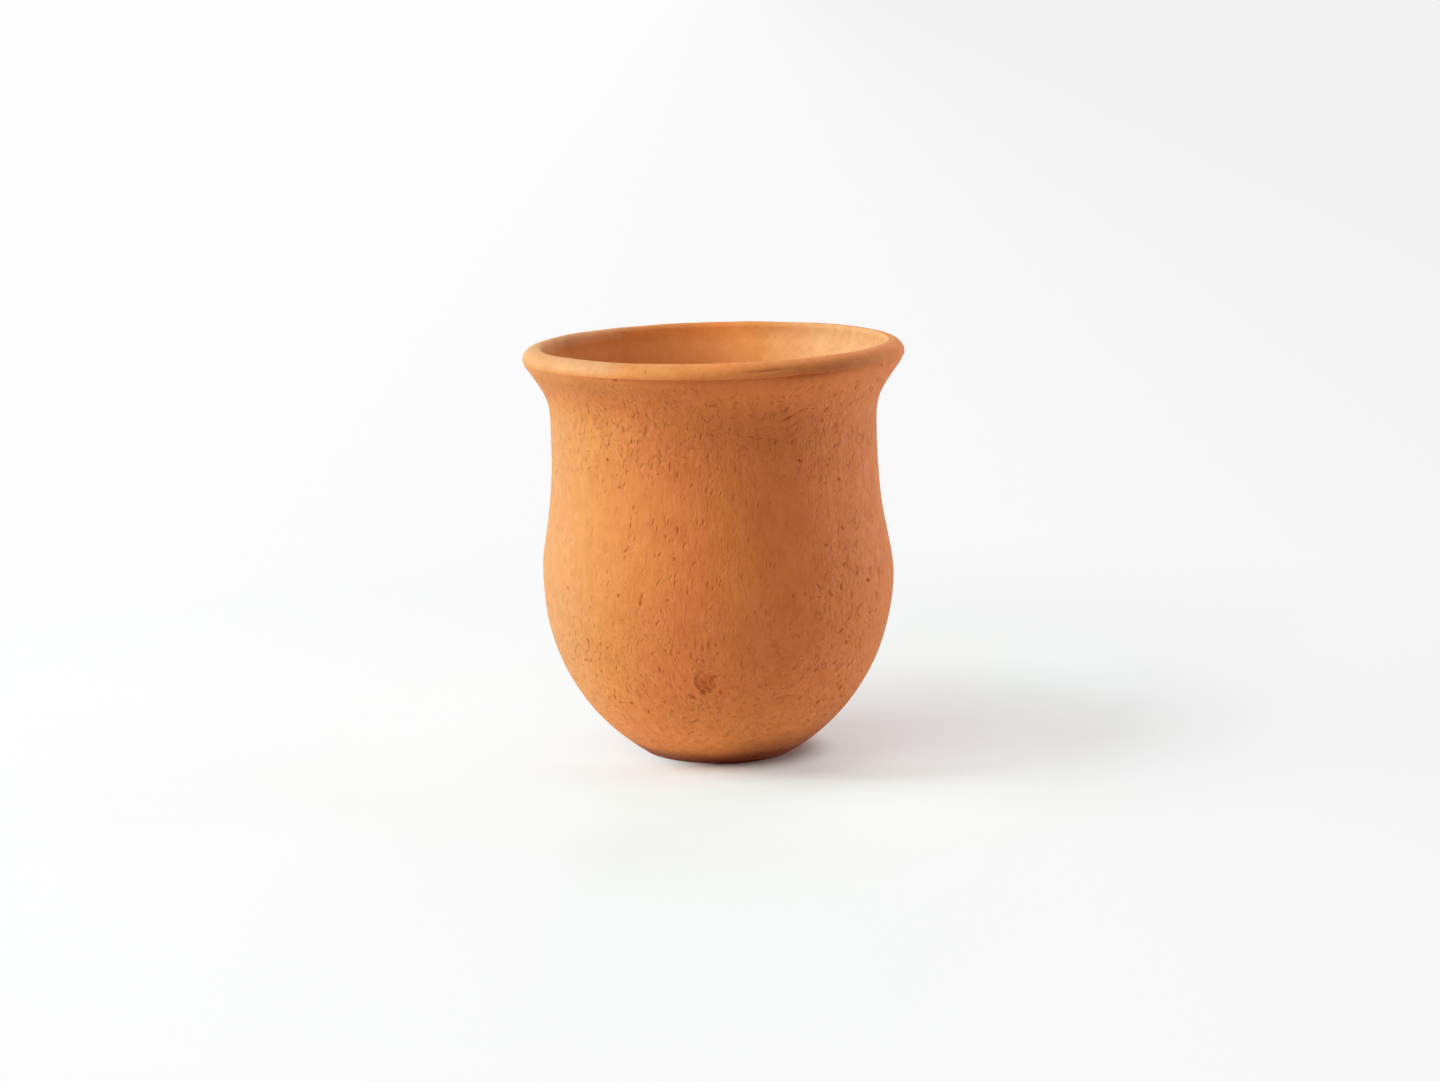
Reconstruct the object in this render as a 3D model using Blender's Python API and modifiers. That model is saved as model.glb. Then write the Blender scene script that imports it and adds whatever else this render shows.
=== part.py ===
"""Terracotta pot: one thrown and fired clay body with a rolled lip, a flared mouth and a drain hole.

Units are metres and +Z is up. The foot rests on z = 0 and the mouth is centred over the origin.
"""
import math

import bpy
import numpy as np

POT_NAME = "terracotta_pot"

# Overall sizes of the turned form, before it leans
HEIGHT = 0.1302
RIM_RADIUS = 0.0600
WAIST_RADIUS = 0.0514
WAIST_HEIGHT = 0.0984
BELLY_RADIUS = 0.0556
BELLY_HEIGHT = 0.0576
FOOT_RADIUS = 0.0225

# Thickness of the clay, and how far the flat floor inside reaches past the foot's edge
WALL = 0.0055
FLOOR = 0.0070
FLOOR_SPREAD = 0.0010

# Rolled lip: the crest lies inside the widest line, and a fold closes the roll below it
LIP_WIDTH = 0.0050
LIP_DROP = 0.0040
LIP_FOLD_DROP = 0.0018
LIP_FOLD_INSET = 0.0004
LIP_INNER_WIDTH = 0.0015
LIP_INNER_DROP = 0.0022

# Drain hole through the floor, with its edges eased
DRAIN_RADIUS = 0.0060
DRAIN_EASE = 0.0008

# Bends of the wall: the slope where a curve starts, and the share of its run that each end stays straight
FLARE_ANGLE = math.radians(36.6)
FLARE_HOLD = 0.448
WAIST_HOLD_ABOVE = 0.523
WAIST_HOLD_BELOW = 0.534
BELLY_HOLD_ABOVE = 0.208
BELLY_HOLD_BELOW = 0.172
BOWL_ANGLE = math.radians(27.3)
BOWL_HOLD = 0.924

# How the soft clay settled: the foot lies to one side of the mouth, and the rim tips up over +X
FOOT_OFFSET = 0.0016
LEAN_START = 0.0500
LEAN_END = 0.1150
RIM_TILT = math.radians(1.54)
TILT_START = 0.0910

# Facets
TURN_STEPS = 64
LIP_STEPS = 5
LIP_INNER_STEPS = 3
FLARE_STEPS = 7
SHOULDER_STEPS = 6
BOWL_STEPS = 10
MERGE_DISTANCE = 0.00001
SHARP_ANGLE = math.radians(35.0)

# Fired clay
CLAY_COLOUR = (0.730, 0.262, 0.089, 1.0)
CLAY_ROUGHNESS = 0.9


def clear_scene():
    """Remove every object from the scene."""
    for scene_object in list(bpy.data.objects):
        bpy.data.objects.remove(scene_object, do_unlink=True)


def fired_clay():
    """Return the matte orange clay material."""
    material = bpy.data.materials.new("fired_clay")
    material.use_nodes = True
    shader = material.node_tree.nodes["Principled BSDF"]
    shader.inputs["Base Color"].default_value = CLAY_COLOUR
    shader.inputs["Roughness"].default_value = CLAY_ROUGHNESS
    shader.inputs["Metallic"].default_value = 0.0
    material.diffuse_color = CLAY_COLOUR
    return material


def bend(start, start_handle, end_handle, end, count):
    """Return count points of a cubic Bezier curve, leaving out its start point."""
    points = []
    for step in range(1, count + 1):
        t = step / count
        weights = ((1 - t) ** 3, 3 * t * (1 - t) ** 2, 3 * t * t * (1 - t), t ** 3)
        corners = (start, start_handle, end_handle, end)
        radius = sum(weight * corner[0] for weight, corner in zip(weights, corners))
        height = sum(weight * corner[1] for weight, corner in zip(weights, corners))
        points.append((radius, height))
    return points


def quarter_roll(centre, width, drop, start_angle, end_angle, count):
    """Return count points of an elliptic arc about centre, leaving out its start point."""
    points = []
    for step in range(1, count + 1):
        angle = start_angle + (end_angle - start_angle) * step / count
        points.append((centre[0] + width * math.cos(angle), centre[1] + drop * math.sin(angle)))
    return points


def flare(lip, waist):
    """Return the points from below the lip, where the wall leans out, down to the upright waist."""
    run = lip[1] - waist[1]
    lip_handle = (lip[0] - FLARE_HOLD * run * math.tan(FLARE_ANGLE), lip[1] - FLARE_HOLD * run)
    waist_handle = (waist[0], waist[1] + WAIST_HOLD_ABOVE * run)
    return bend(lip, lip_handle, waist_handle, waist, FLARE_STEPS)


def shoulder(waist, belly):
    """Return the points from the waist down to the belly, upright at both."""
    run = waist[1] - belly[1]
    waist_handle = (waist[0], waist[1] - WAIST_HOLD_BELOW * run)
    belly_handle = (belly[0], belly[1] + BELLY_HOLD_ABOVE * run)
    return bend(waist, waist_handle, belly_handle, belly, SHOULDER_STEPS)


def bowl(belly, foot):
    """Return the points from the upright belly down to the foot, which the wall meets at the bowl's angle."""
    belly_handle = (belly[0], belly[1] - BELLY_HOLD_BELOW * (belly[1] - foot[1]))
    reach = BOWL_HOLD * (belly[0] - foot[0])
    foot_handle = (foot[0] + reach, foot[1] + reach * math.tan(BOWL_ANGLE))
    return bend(belly, belly_handle, foot_handle, foot, BOWL_STEPS)


def lip_profile():
    """Return the rolled lip from its crest out to the fold that closes it."""
    crest = (RIM_RADIUS - LIP_WIDTH, HEIGHT)
    widest = (RIM_RADIUS, HEIGHT - LIP_DROP)
    fold = (RIM_RADIUS - LIP_FOLD_INSET, widest[1] - LIP_FOLD_DROP)
    roll = quarter_roll((crest[0], widest[1]), LIP_WIDTH, LIP_DROP, math.pi / 2, 0.0, LIP_STEPS)
    return [crest] + roll + [fold]


def wall_profile(fold):
    """Return the outside of the wall from the fold under the lip down to the edge of the foot."""
    waist = (WAIST_RADIUS, WAIST_HEIGHT)
    belly = (BELLY_RADIUS, BELLY_HEIGHT)
    foot = (FOOT_RADIUS, 0.0)
    return [fold] + flare(fold, waist) + shoulder(waist, belly) + bowl(belly, foot)


def drain_profile():
    """Return the drain hole's wall, from the foot's flat face up to the floor inside."""
    return [
        (DRAIN_RADIUS + DRAIN_EASE, 0.0),
        (DRAIN_RADIUS, DRAIN_EASE),
        (DRAIN_RADIUS, FLOOR - DRAIN_EASE),
        (DRAIN_RADIUS + DRAIN_EASE, FLOOR),
    ]


def inner_profile(wall):
    """Return the inside from the floor up to just short of the lip's crest.

    It is the outside of the wall moved in by the clay's thickness, between the floor and the lip.
    """
    crest_radius = RIM_RADIUS - LIP_WIDTH
    lip_edge = (crest_radius - LIP_INNER_WIDTH, HEIGHT - LIP_INNER_DROP)
    floor_edge = (FOOT_RADIUS + FLOOR_SPREAD, FLOOR)
    outside = np.array(wall)
    along = np.gradient(outside, axis=0)
    along /= np.linalg.norm(along, axis=1, keepdims=True)
    inside = outside + WALL * np.column_stack((along[:, 1], -along[:, 0]))
    radius, height = inside.T
    under_lip = (height < WAIST_HEIGHT) | ((radius < lip_edge[0]) & (height < lip_edge[1]))
    above_floor = (height > floor_edge[1]) & (radius > floor_edge[0])
    points = [floor_edge] + inside[under_lip & above_floor][::-1].tolist() + [lip_edge]
    roll_centre = (crest_radius, lip_edge[1])
    points += quarter_roll(
        roll_centre, LIP_INNER_WIDTH, LIP_INNER_DROP, math.pi, math.pi / 2, LIP_INNER_STEPS
    )
    return points[:-1]


def pot_profile():
    """Return the closed outline of the clay: down the outside, up the drain hole and up the inside."""
    lip = lip_profile()
    wall = wall_profile(lip[-1])
    return lip[:-1] + wall + drain_profile() + inner_profile(wall)


def turned_mesh(name, profile):
    """Return the mesh that a closed profile of (radius, height) points sweeps about Z."""
    outline = bpy.data.meshes.new(name + "_profile")
    corners = [(radius, 0.0, height) for radius, height in profile]
    edges = [(index, (index + 1) % len(corners)) for index in range(len(corners))]
    outline.from_pydata(corners, edges, [])
    turning = bpy.data.objects.new(name + "_profile", outline)
    bpy.context.scene.collection.objects.link(turning)
    screw = turning.modifiers.new("turn", "SCREW")
    screw.axis = "Z"
    screw.angle = 2 * math.pi
    screw.steps = TURN_STEPS
    screw.render_steps = TURN_STEPS
    screw.use_merge_vertices = True
    screw.merge_threshold = MERGE_DISTANCE
    depsgraph = bpy.context.evaluated_depsgraph_get()
    mesh = bpy.data.meshes.new_from_object(turning.evaluated_get(depsgraph))
    mesh.name = name
    bpy.data.objects.remove(turning, do_unlink=True)
    bpy.data.meshes.remove(outline)
    return mesh


def ease(amount):
    """Return 0 below 0, 1 above 1 and a smooth step between."""
    amount = np.clip(amount, 0.0, 1.0)
    return amount * amount * (3.0 - 2.0 * amount)


def settle(mesh):
    """Lean the body so that its foot lies off the mouth's centre, and tip the rim up over +X."""
    coordinates = np.empty(len(mesh.vertices) * 3)
    mesh.vertices.foreach_get("co", coordinates)
    x, y, z = coordinates.reshape(-1, 3).T
    lean = FOOT_OFFSET * (1.0 - ease((z - LEAN_START) / (LEAN_END - LEAN_START)))
    tipped = np.clip((z - TILT_START) / (HEIGHT - TILT_START), 0.0, 1.0)
    settled = np.column_stack((x + lean, y, z + x * math.tan(RIM_TILT) * tipped))
    mesh.vertices.foreach_set("co", settled.ravel())
    mesh.update()


def build_pot():
    """Make the pot's one clay body in a collection named for the object."""
    collection = bpy.data.collections.new(POT_NAME)
    bpy.context.scene.collection.children.link(collection)
    mesh = turned_mesh("pot_body", pot_profile())
    settle(mesh)
    mesh.shade_smooth()
    mesh.set_sharp_from_angle(angle=SHARP_ANGLE)
    mesh.materials.append(fired_clay())
    pot_body = bpy.data.objects.new("pot_body", mesh)
    collection.objects.link(pot_body)


clear_scene()
build_pot()
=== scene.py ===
"""Terracotta pot: the looks of one thrown and fired clay body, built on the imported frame.

Lengths are in metres unless a name ends in _mm. +Z is up, +X is to the right and the camera looks along +Y.
A turn is an angle about the pot's axis: 0 faces the camera and +90 degrees faces +X.
"""
from __future__ import annotations

import logging
import math
from dataclasses import dataclass, field
from enum import Enum
from functools import reduce
from typing import Union

import bpy
import numpy as np
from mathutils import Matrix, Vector
from numpy.typing import NDArray

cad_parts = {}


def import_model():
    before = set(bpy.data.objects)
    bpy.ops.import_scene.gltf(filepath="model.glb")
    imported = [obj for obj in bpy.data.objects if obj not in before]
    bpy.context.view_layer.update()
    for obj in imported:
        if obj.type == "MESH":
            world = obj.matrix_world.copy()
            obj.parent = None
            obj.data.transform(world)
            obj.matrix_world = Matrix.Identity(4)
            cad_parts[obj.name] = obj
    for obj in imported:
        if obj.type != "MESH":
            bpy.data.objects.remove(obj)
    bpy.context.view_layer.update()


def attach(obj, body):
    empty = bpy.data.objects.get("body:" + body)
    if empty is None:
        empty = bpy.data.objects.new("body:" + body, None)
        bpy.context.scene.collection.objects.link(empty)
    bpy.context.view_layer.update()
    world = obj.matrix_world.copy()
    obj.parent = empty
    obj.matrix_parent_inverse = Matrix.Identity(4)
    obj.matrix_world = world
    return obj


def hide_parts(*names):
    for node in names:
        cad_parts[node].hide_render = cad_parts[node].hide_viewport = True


LOG = logging.getLogger("terracotta_pot")
MM = 0.001
FULL_TURN = 2.0 * math.pi

Array = NDArray[np.float64]
Flags = NDArray[np.bool_]
Numbers = NDArray[np.int64]
Colour = tuple[float, float, float, float]
Point = tuple[float, float]
Triple = tuple[float, float, float]

WHITE: Colour = (1.0, 1.0, 1.0, 1.0)


def ease(amount: Array) -> Array:
    """Return the smooth step 3a^2 - 2a^3 of an amount held between 0 and 1.

    Args:
        amount: Values of any size.

    Returns:
        Values from 0 to 1, level at both ends.
    """
    held = np.clip(amount, 0.0, 1.0)
    return held * held * (3.0 - 2.0 * held)


def put(name: str, data: bpy.types.ID) -> bpy.types.Object:
    """Make an object and link it to the scene.

    Args:
        name: Its name.
        data: Its mesh, camera or light.

    Returns:
        The object, at the origin.
    """
    made = bpy.data.objects.new(name, data)
    bpy.context.scene.collection.objects.link(made)
    return made


@dataclass(frozen=True)
class Ramp:
    """A smooth step along a line: 0 up to its start, and its weight from its end on."""

    start: float
    end: float
    weight: float = 1.0

    def at(self, values: Array) -> Array:
        """Return the weight times the eased share of the way from start to end, for each value."""
        return self.weight * ease((values - self.start) / (self.end - self.start))


@dataclass(frozen=True)
class Bell:
    """A bell along a line: its weight in the middle, fading over its reach."""

    middle: float
    reach: float
    weight: float = 1.0

    def at(self, values: Array) -> Array:
        """Return the weight times exp(-d^2), where d is each value's distance in reaches."""
        return self.weight * np.exp(-(((values - self.middle) / self.reach) ** 2))


class Side(Enum):
    """The two faces of the clay that are finished differently."""

    OUTSIDE = 0.0
    INSIDE = 1.0


@dataclass(frozen=True)
class Band:
    """One stretch of the pot's outline, and the number of rows that it is cut into."""

    points: Array
    rows: int
    side: Side


@dataclass(frozen=True)
class Outline:
    """The closed outline, cut into rows: where each row lies and which way its clay faces."""

    radius: Array
    height: Array
    along: Array
    face_out: Array
    face_up: Array
    inside: Array

    @property
    def length(self) -> float:
        """Return the distance once round the outline."""
        gap = math.hypot(self.radius[0] - self.radius[-1], self.height[0] - self.height[-1])
        return float(self.along[-1] + gap)


@dataclass(frozen=True)
class ClayProfile:
    """Sizes of the turned form before it leans, and how the soft clay settled."""

    height: float = 0.1302
    rim_radius: float = 0.0600
    waist_radius: float = 0.0514
    waist_height: float = 0.0984
    belly_radius: float = 0.0556
    belly_height: float = 0.0576
    foot_radius: float = 0.0225
    wall: float = 0.0055
    floor: float = 0.0070
    floor_spread: float = 0.0010
    floor_fillet: float = 0.004
    inner_trim: float = 0.0012
    inner_hold: float = 0.4
    lip_width: float = 0.0048
    lip_drop: float = 0.0037
    lip_tuck: float = 0.0016
    lip_tuck_hold: float = 0.4
    lip_inset: float = 0.0004
    lip_inner_width: float = 0.0014
    lip_inner_drop: float = 0.0020
    drain_radius: float = 0.0060
    drain_ease: float = 0.0008
    foot_hollow: float = 0.0003
    foot_bulge: float = 0.0028
    foot_round: float = 0.0010
    foot_spread: float = 0.0012
    foot_turn: float = 0.75
    foot_hold: float = 0.3
    flare_angle: float = math.radians(36.6)
    flare_hold: float = 0.448
    waist_hold_above: float = 0.523
    waist_hold_below: float = 0.534
    belly_hold_above: float = 0.208
    belly_hold_below: float = 0.190
    bowl_angle: float = math.radians(33.0)
    bowl_hold: float = 0.905
    foot_offset: float = 0.0016
    lean_start: float = 0.0500
    lean_end: float = 0.1150
    rim_tilt: float = math.radians(1.54)
    tilt_start: float = 0.0910
    edge_points: int = 60
    inner_points: int = 30
    drain_points: int = 12

    @staticmethod
    def bend(start: Point, start_handle: Point, end_handle: Point, end: Point, count: int = 160) -> Array:
        """Return a cubic Bezier curve: the four corners weighted by Bernstein's polynomials.

        Args:
            start: First point, as radius and height.
            start_handle: Point towards which the curve leaves its start.
            end_handle: Point from which the curve reaches its end.
            end: Last point.
            count: Number of points, both ends included.

        Returns:
            Points as rows of radius and height.
        """
        t = np.linspace(0.0, 1.0, count)[:, None]
        corners = np.array((start, start_handle, end_handle, end))
        weights = np.hstack(((1 - t) ** 3, 3 * t * (1 - t) ** 2, 3 * t * t * (1 - t), t ** 3))
        return weights @ corners

    @staticmethod
    def roll(centre: Point, width: float, drop: float, first: float, last: float, count: int = 60) -> Array:
        """Return an elliptic arc: the centre plus width times cosine, drop times sine.

        Args:
            centre: Centre of the ellipse, as radius and height.
            width: Half its width.
            drop: Half its height.
            first: Angle of the first point, in radians from straight out.
            last: Angle of the last point.
            count: Number of points.

        Returns:
            Points as rows of radius and height.
        """
        angle = np.linspace(first, last, count)
        return np.column_stack((centre[0] + width * np.cos(angle), centre[1] + drop * np.sin(angle)))

    @property
    def crest(self) -> Point:
        """Return the highest point of the lip."""
        return self.rim_radius - self.lip_width, self.height

    def lip(self) -> Array:
        """Return the rolled lip from its crest out to its widest line."""
        centre = (self.crest[0], self.height - self.lip_drop)
        return self.roll(centre, self.lip_width, self.lip_drop, math.pi / 2, 0.0)

    def tuck(self) -> Array:
        """Return the short run from the lip's widest line in to the top of the flare."""
        widest = (self.rim_radius, self.height - self.lip_drop)
        end = self.flare_top
        down = self.lip_tuck_hold * self.lip_tuck
        handle = (end[0] + down * math.tan(self.flare_angle), end[1] + down)
        return self.bend(widest, (widest[0], widest[1] - down), handle, end)

    @property
    def flare_top(self) -> Point:
        """Return the point under the lip at which the flare starts."""
        return self.rim_radius - self.lip_inset, self.height - self.lip_drop - self.lip_tuck

    def flare(self) -> Array:
        """Return the outside from under the lip, where it leans out, down to the upright waist."""
        top = self.flare_top
        run = top[1] - self.waist_height
        top_handle = (
            top[0] - self.flare_hold * run * math.tan(self.flare_angle),
            top[1] - self.flare_hold * run,
        )
        waist = (self.waist_radius, self.waist_height)
        waist_handle = (waist[0], waist[1] + self.waist_hold_above * run)
        return self.bend(top, top_handle, waist_handle, waist)

    def shoulder(self) -> Array:
        """Return the outside from the waist down to the belly, upright at both."""
        waist = (self.waist_radius, self.waist_height)
        belly = (self.belly_radius, self.belly_height)
        run = waist[1] - belly[1]
        waist_handle = (waist[0], waist[1] - self.waist_hold_below * run)
        belly_handle = (belly[0], belly[1] + self.belly_hold_above * run)
        return self.bend(waist, waist_handle, belly_handle, belly)

    def bowl(self) -> Array:
        """Return the outside from the belly down to the rounded edge of the foot."""
        belly = (self.belly_radius, self.belly_height)
        foot = (self.foot_radius + self.foot_bulge, self.foot_round)
        reach = self.bowl_hold * (belly[0] - foot[0])
        belly_handle = (belly[0], belly[1] * (1.0 - self.belly_hold_below))
        foot_handle = (foot[0] + reach, foot[1] + reach * math.tan(self.bowl_angle))
        return self.bend(belly, belly_handle, foot_handle, foot)

    @property
    def contact(self) -> Point:
        """Return the line on which the pot stands."""
        return self.foot_radius + self.foot_spread, 0.0

    def foot_edge(self) -> Array:
        """Return the foot's rounded edge, which curves under the pot to the line on which it stands."""
        top = (self.foot_radius + self.foot_bulge, self.foot_round)
        fall = self.foot_turn * self.foot_round
        over = (top[0] - fall / math.tan(self.bowl_angle), top[1] - fall)
        stand = self.contact
        return self.bend(top, over, ((over[0] + stand[0]) / 2, 0.0), stand, self.edge_points)

    def foot_ring(self) -> Array:
        """Return the foot's underside, slightly hollow, in to the drain hole."""
        inner = self.drain_radius + self.drain_ease
        lift = self.foot_hollow
        stand = self.contact
        hold = self.foot_hold * (stand[0] - inner)
        return self.bend(stand, (stand[0] - hold, 0.0), (inner + hold, lift), (inner, lift))

    def drain(self) -> Array:
        """Return the drain hole's wall from the underside up to the floor, its two edges eased."""
        inset = self.drain_ease
        centre = self.drain_radius + inset
        count = self.drain_points
        low = self.roll((centre, inset + self.foot_hollow), inset, inset, -math.pi / 2, -math.pi, count)
        high = self.roll((centre, self.floor - inset), inset, inset, math.pi, math.pi / 2, count)
        return np.vstack((low, high))

    def inside(self) -> Array:
        """Return the floor and the inner wall up to the lip: the outside moved in by the wall's thickness.

        What comes too near the lip's edge or the floor is left out, and short bends close the two gaps.

        Returns:
            Points as rows of radius and height.
        """
        outside = np.vstack((self.flare(), self.shoulder()[1:], self.bowl()[1:]))
        step = np.gradient(outside, axis=0)
        step /= np.linalg.norm(step, axis=1, keepdims=True)
        moved = outside + self.wall * np.column_stack((step[:, 1], -step[:, 0]))
        radius, height = moved.T
        edge = self.lip_edge
        floor_edge = self.foot_radius + self.floor_spread
        trim = self.inner_trim
        under_lip = (radius < edge[0] - trim) & (height < edge[1] - trim)
        under_lip |= height < self.waist_height
        over_floor = (height > self.floor + trim) & (radius > floor_edge + trim)
        kept = moved[under_lip & over_floor][::-1]
        count = self.inner_points
        start = (self.drain_radius + self.drain_ease, self.floor)
        corner = (floor_edge, self.floor)
        floor = np.linspace(start, (floor_edge - self.floor_fillet, self.floor), count)
        fillet = self.bend(tuple(floor[-1]), corner, corner, tuple(kept[0]), count)
        rise = kept[-1] - kept[-4]
        rise *= self.inner_hold * (edge[1] - kept[-1][1]) / rise[1]
        close = self.bend(tuple(kept[-1]), tuple(kept[-1] + rise), (edge[0], edge[1] - trim), edge, count)
        return np.vstack((floor, fillet[1:], kept[1:], close[1:]))

    @property
    def lip_edge(self) -> Point:
        """Return the inner edge of the lip, where its roll starts."""
        return self.crest[0] - self.lip_inner_width, self.height - self.lip_inner_drop

    def inner_lip(self) -> Array:
        """Return the lip's small inner roll, up to its crest."""
        centre = (self.crest[0], self.lip_edge[1])
        return self.roll(centre, self.lip_inner_width, self.lip_inner_drop, math.pi, math.pi / 2)

    def bands(self) -> list[Band]:
        """Return the closed outline in order: out over the lip, down, up the drain hole and up the inside."""
        return [
            Band(self.lip(), 22, Side.OUTSIDE),
            Band(self.tuck(), 13, Side.OUTSIDE),
            Band(self.flare(), 22, Side.OUTSIDE),
            Band(self.shoulder(), 30, Side.OUTSIDE),
            Band(self.bowl(), 54, Side.OUTSIDE),
            Band(self.foot_edge(), 8, Side.OUTSIDE),
            Band(self.foot_ring(), 5, Side.OUTSIDE),
            Band(self.drain(), 8, Side.INSIDE),
            Band(self.inside(), 60, Side.INSIDE),
            Band(self.inner_lip(), 6, Side.INSIDE),
        ]

    def outline(self, splits: int) -> Outline:
        """Cut every band into equal steps along its length.

        Args:
            splits: Number of fine steps in each row.

        Returns:
            The closed outline, with the direction that its clay faces at each step.
        """
        cut = [self.cut(band.points, band.rows * splits) for band in self.bands()]
        points = np.vstack(cut)
        inside = np.concatenate([np.full(len(c), b.side.value) for c, b in zip(cut, self.bands())])
        ahead = np.roll(points, -1, axis=0) - np.roll(points, 1, axis=0)
        ahead /= np.linalg.norm(ahead, axis=1, keepdims=True)
        steps = np.linalg.norm(np.diff(points, axis=0), axis=1)
        along = np.concatenate(([0.0], np.cumsum(steps)))
        return Outline(points[:, 0], points[:, 1], along, -ahead[:, 1], ahead[:, 0], inside)

    @staticmethod
    def cut(points: Array, count: int) -> Array:
        """Return count points at equal steps along a line of points, leaving out its last.

        Args:
            points: The line, as rows of radius and height.
            count: Number of steps.

        Returns:
            The points at which the steps start.
        """
        gaps = np.linalg.norm(np.diff(points, axis=0), axis=1)
        reach = np.concatenate(([0.0], np.cumsum(gaps)))
        wanted = np.linspace(0.0, reach[-1], count + 1)[:-1]
        return np.column_stack([np.interp(wanted, reach, points[:, axis]) for axis in (0, 1)])

    def lean(self, z: Array) -> Array:
        """Return how far the clay lies along X at each height: the foot's offset, eased away above."""
        return self.foot_offset * (1.0 - ease((z - self.lean_start) / (self.lean_end - self.lean_start)))

    def tip(self, x: Array, z: Array) -> Array:
        """Return how far the clay rises with X: by the tilt's tangent at the rim, and by less below it."""
        share = np.clip((z - self.tilt_start) / (self.height - self.tilt_start), 0.0, 1.0)
        return x * math.tan(self.rim_tilt) * share

    def settle(self, points: Array) -> Array:
        """Lean and tip the turned form as the soft clay settled.

        Args:
            points: Rows of x, y and z of the upright form.

        Returns:
            Rows of x, y and z of the settled form.
        """
        x, y, z = points.T
        return np.column_stack((x + self.lean(z), y, z + self.tip(x, z)))


@dataclass(frozen=True)
class ViewCamera:
    """The camera, at the photograph's own viewing angle."""

    lens: float = 85.0
    sensor: float = 36.0
    image: tuple[int, int] = (1440, 1081)
    distance: float = 1.0785
    elevation: float = math.radians(10.093)
    target: Triple = (0.0021, 0.0, 0.06683)
    clip_end: float = 50.0

    @property
    def place(self) -> Array:
        """Return where the camera stands."""
        back = np.array((0.0, -math.cos(self.elevation), math.sin(self.elevation)))
        return np.array(self.target) + self.distance * back

    def rays(self, pixels: Array) -> Array:
        """Return the directions in which the camera sees places in its image.

        Args:
            pixels: Rows of column and row in the image.

        Returns:
            Rows of x, y and z, each one unit deep along the camera's axis.
        """
        scale = self.lens / self.sensor * self.image[0]
        across = (pixels[:, 0] - self.image[0] / 2) / scale
        up = (self.image[1] / 2 - pixels[:, 1]) / scale
        forward = np.array((0.0, math.cos(self.elevation), -math.sin(self.elevation)))
        upward = np.array((0.0, math.sin(self.elevation), math.cos(self.elevation)))
        return forward + across[:, None] * np.array((1.0, 0.0, 0.0)) + up[:, None] * upward

    def build(self) -> bpy.types.Object:
        """Make the camera and give it to the scene.

        Returns:
            The camera's object.
        """
        data = bpy.data.cameras.new("view")
        data.lens = self.lens
        data.sensor_width = self.sensor
        data.sensor_fit = "HORIZONTAL"
        data.clip_end = self.clip_end
        camera = put("view", data)
        camera.location = self.place
        camera.rotation_euler = (math.pi / 2 - self.elevation, 0.0, 0.0)
        bpy.context.scene.camera = camera
        return camera


class Cup(Enum):
    """How the floor of a mark in the clay is shaped: the power of its falling edge."""

    ROUND = 1.0
    SOFT = 2.0


@dataclass(frozen=True)
class Mark:
    """One pit, slit, scratch or dent in the clay, sized in millimetres and slanted in degrees.

    A slant of 0 runs up the wall, and a positive one leans to the right at its top. A negative depth raises
    the clay.
    """

    column: float
    row: float
    width_mm: float
    length_mm: float
    slant: float
    depth_mm: float
    cup: Cup = Cup.ROUND


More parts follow.
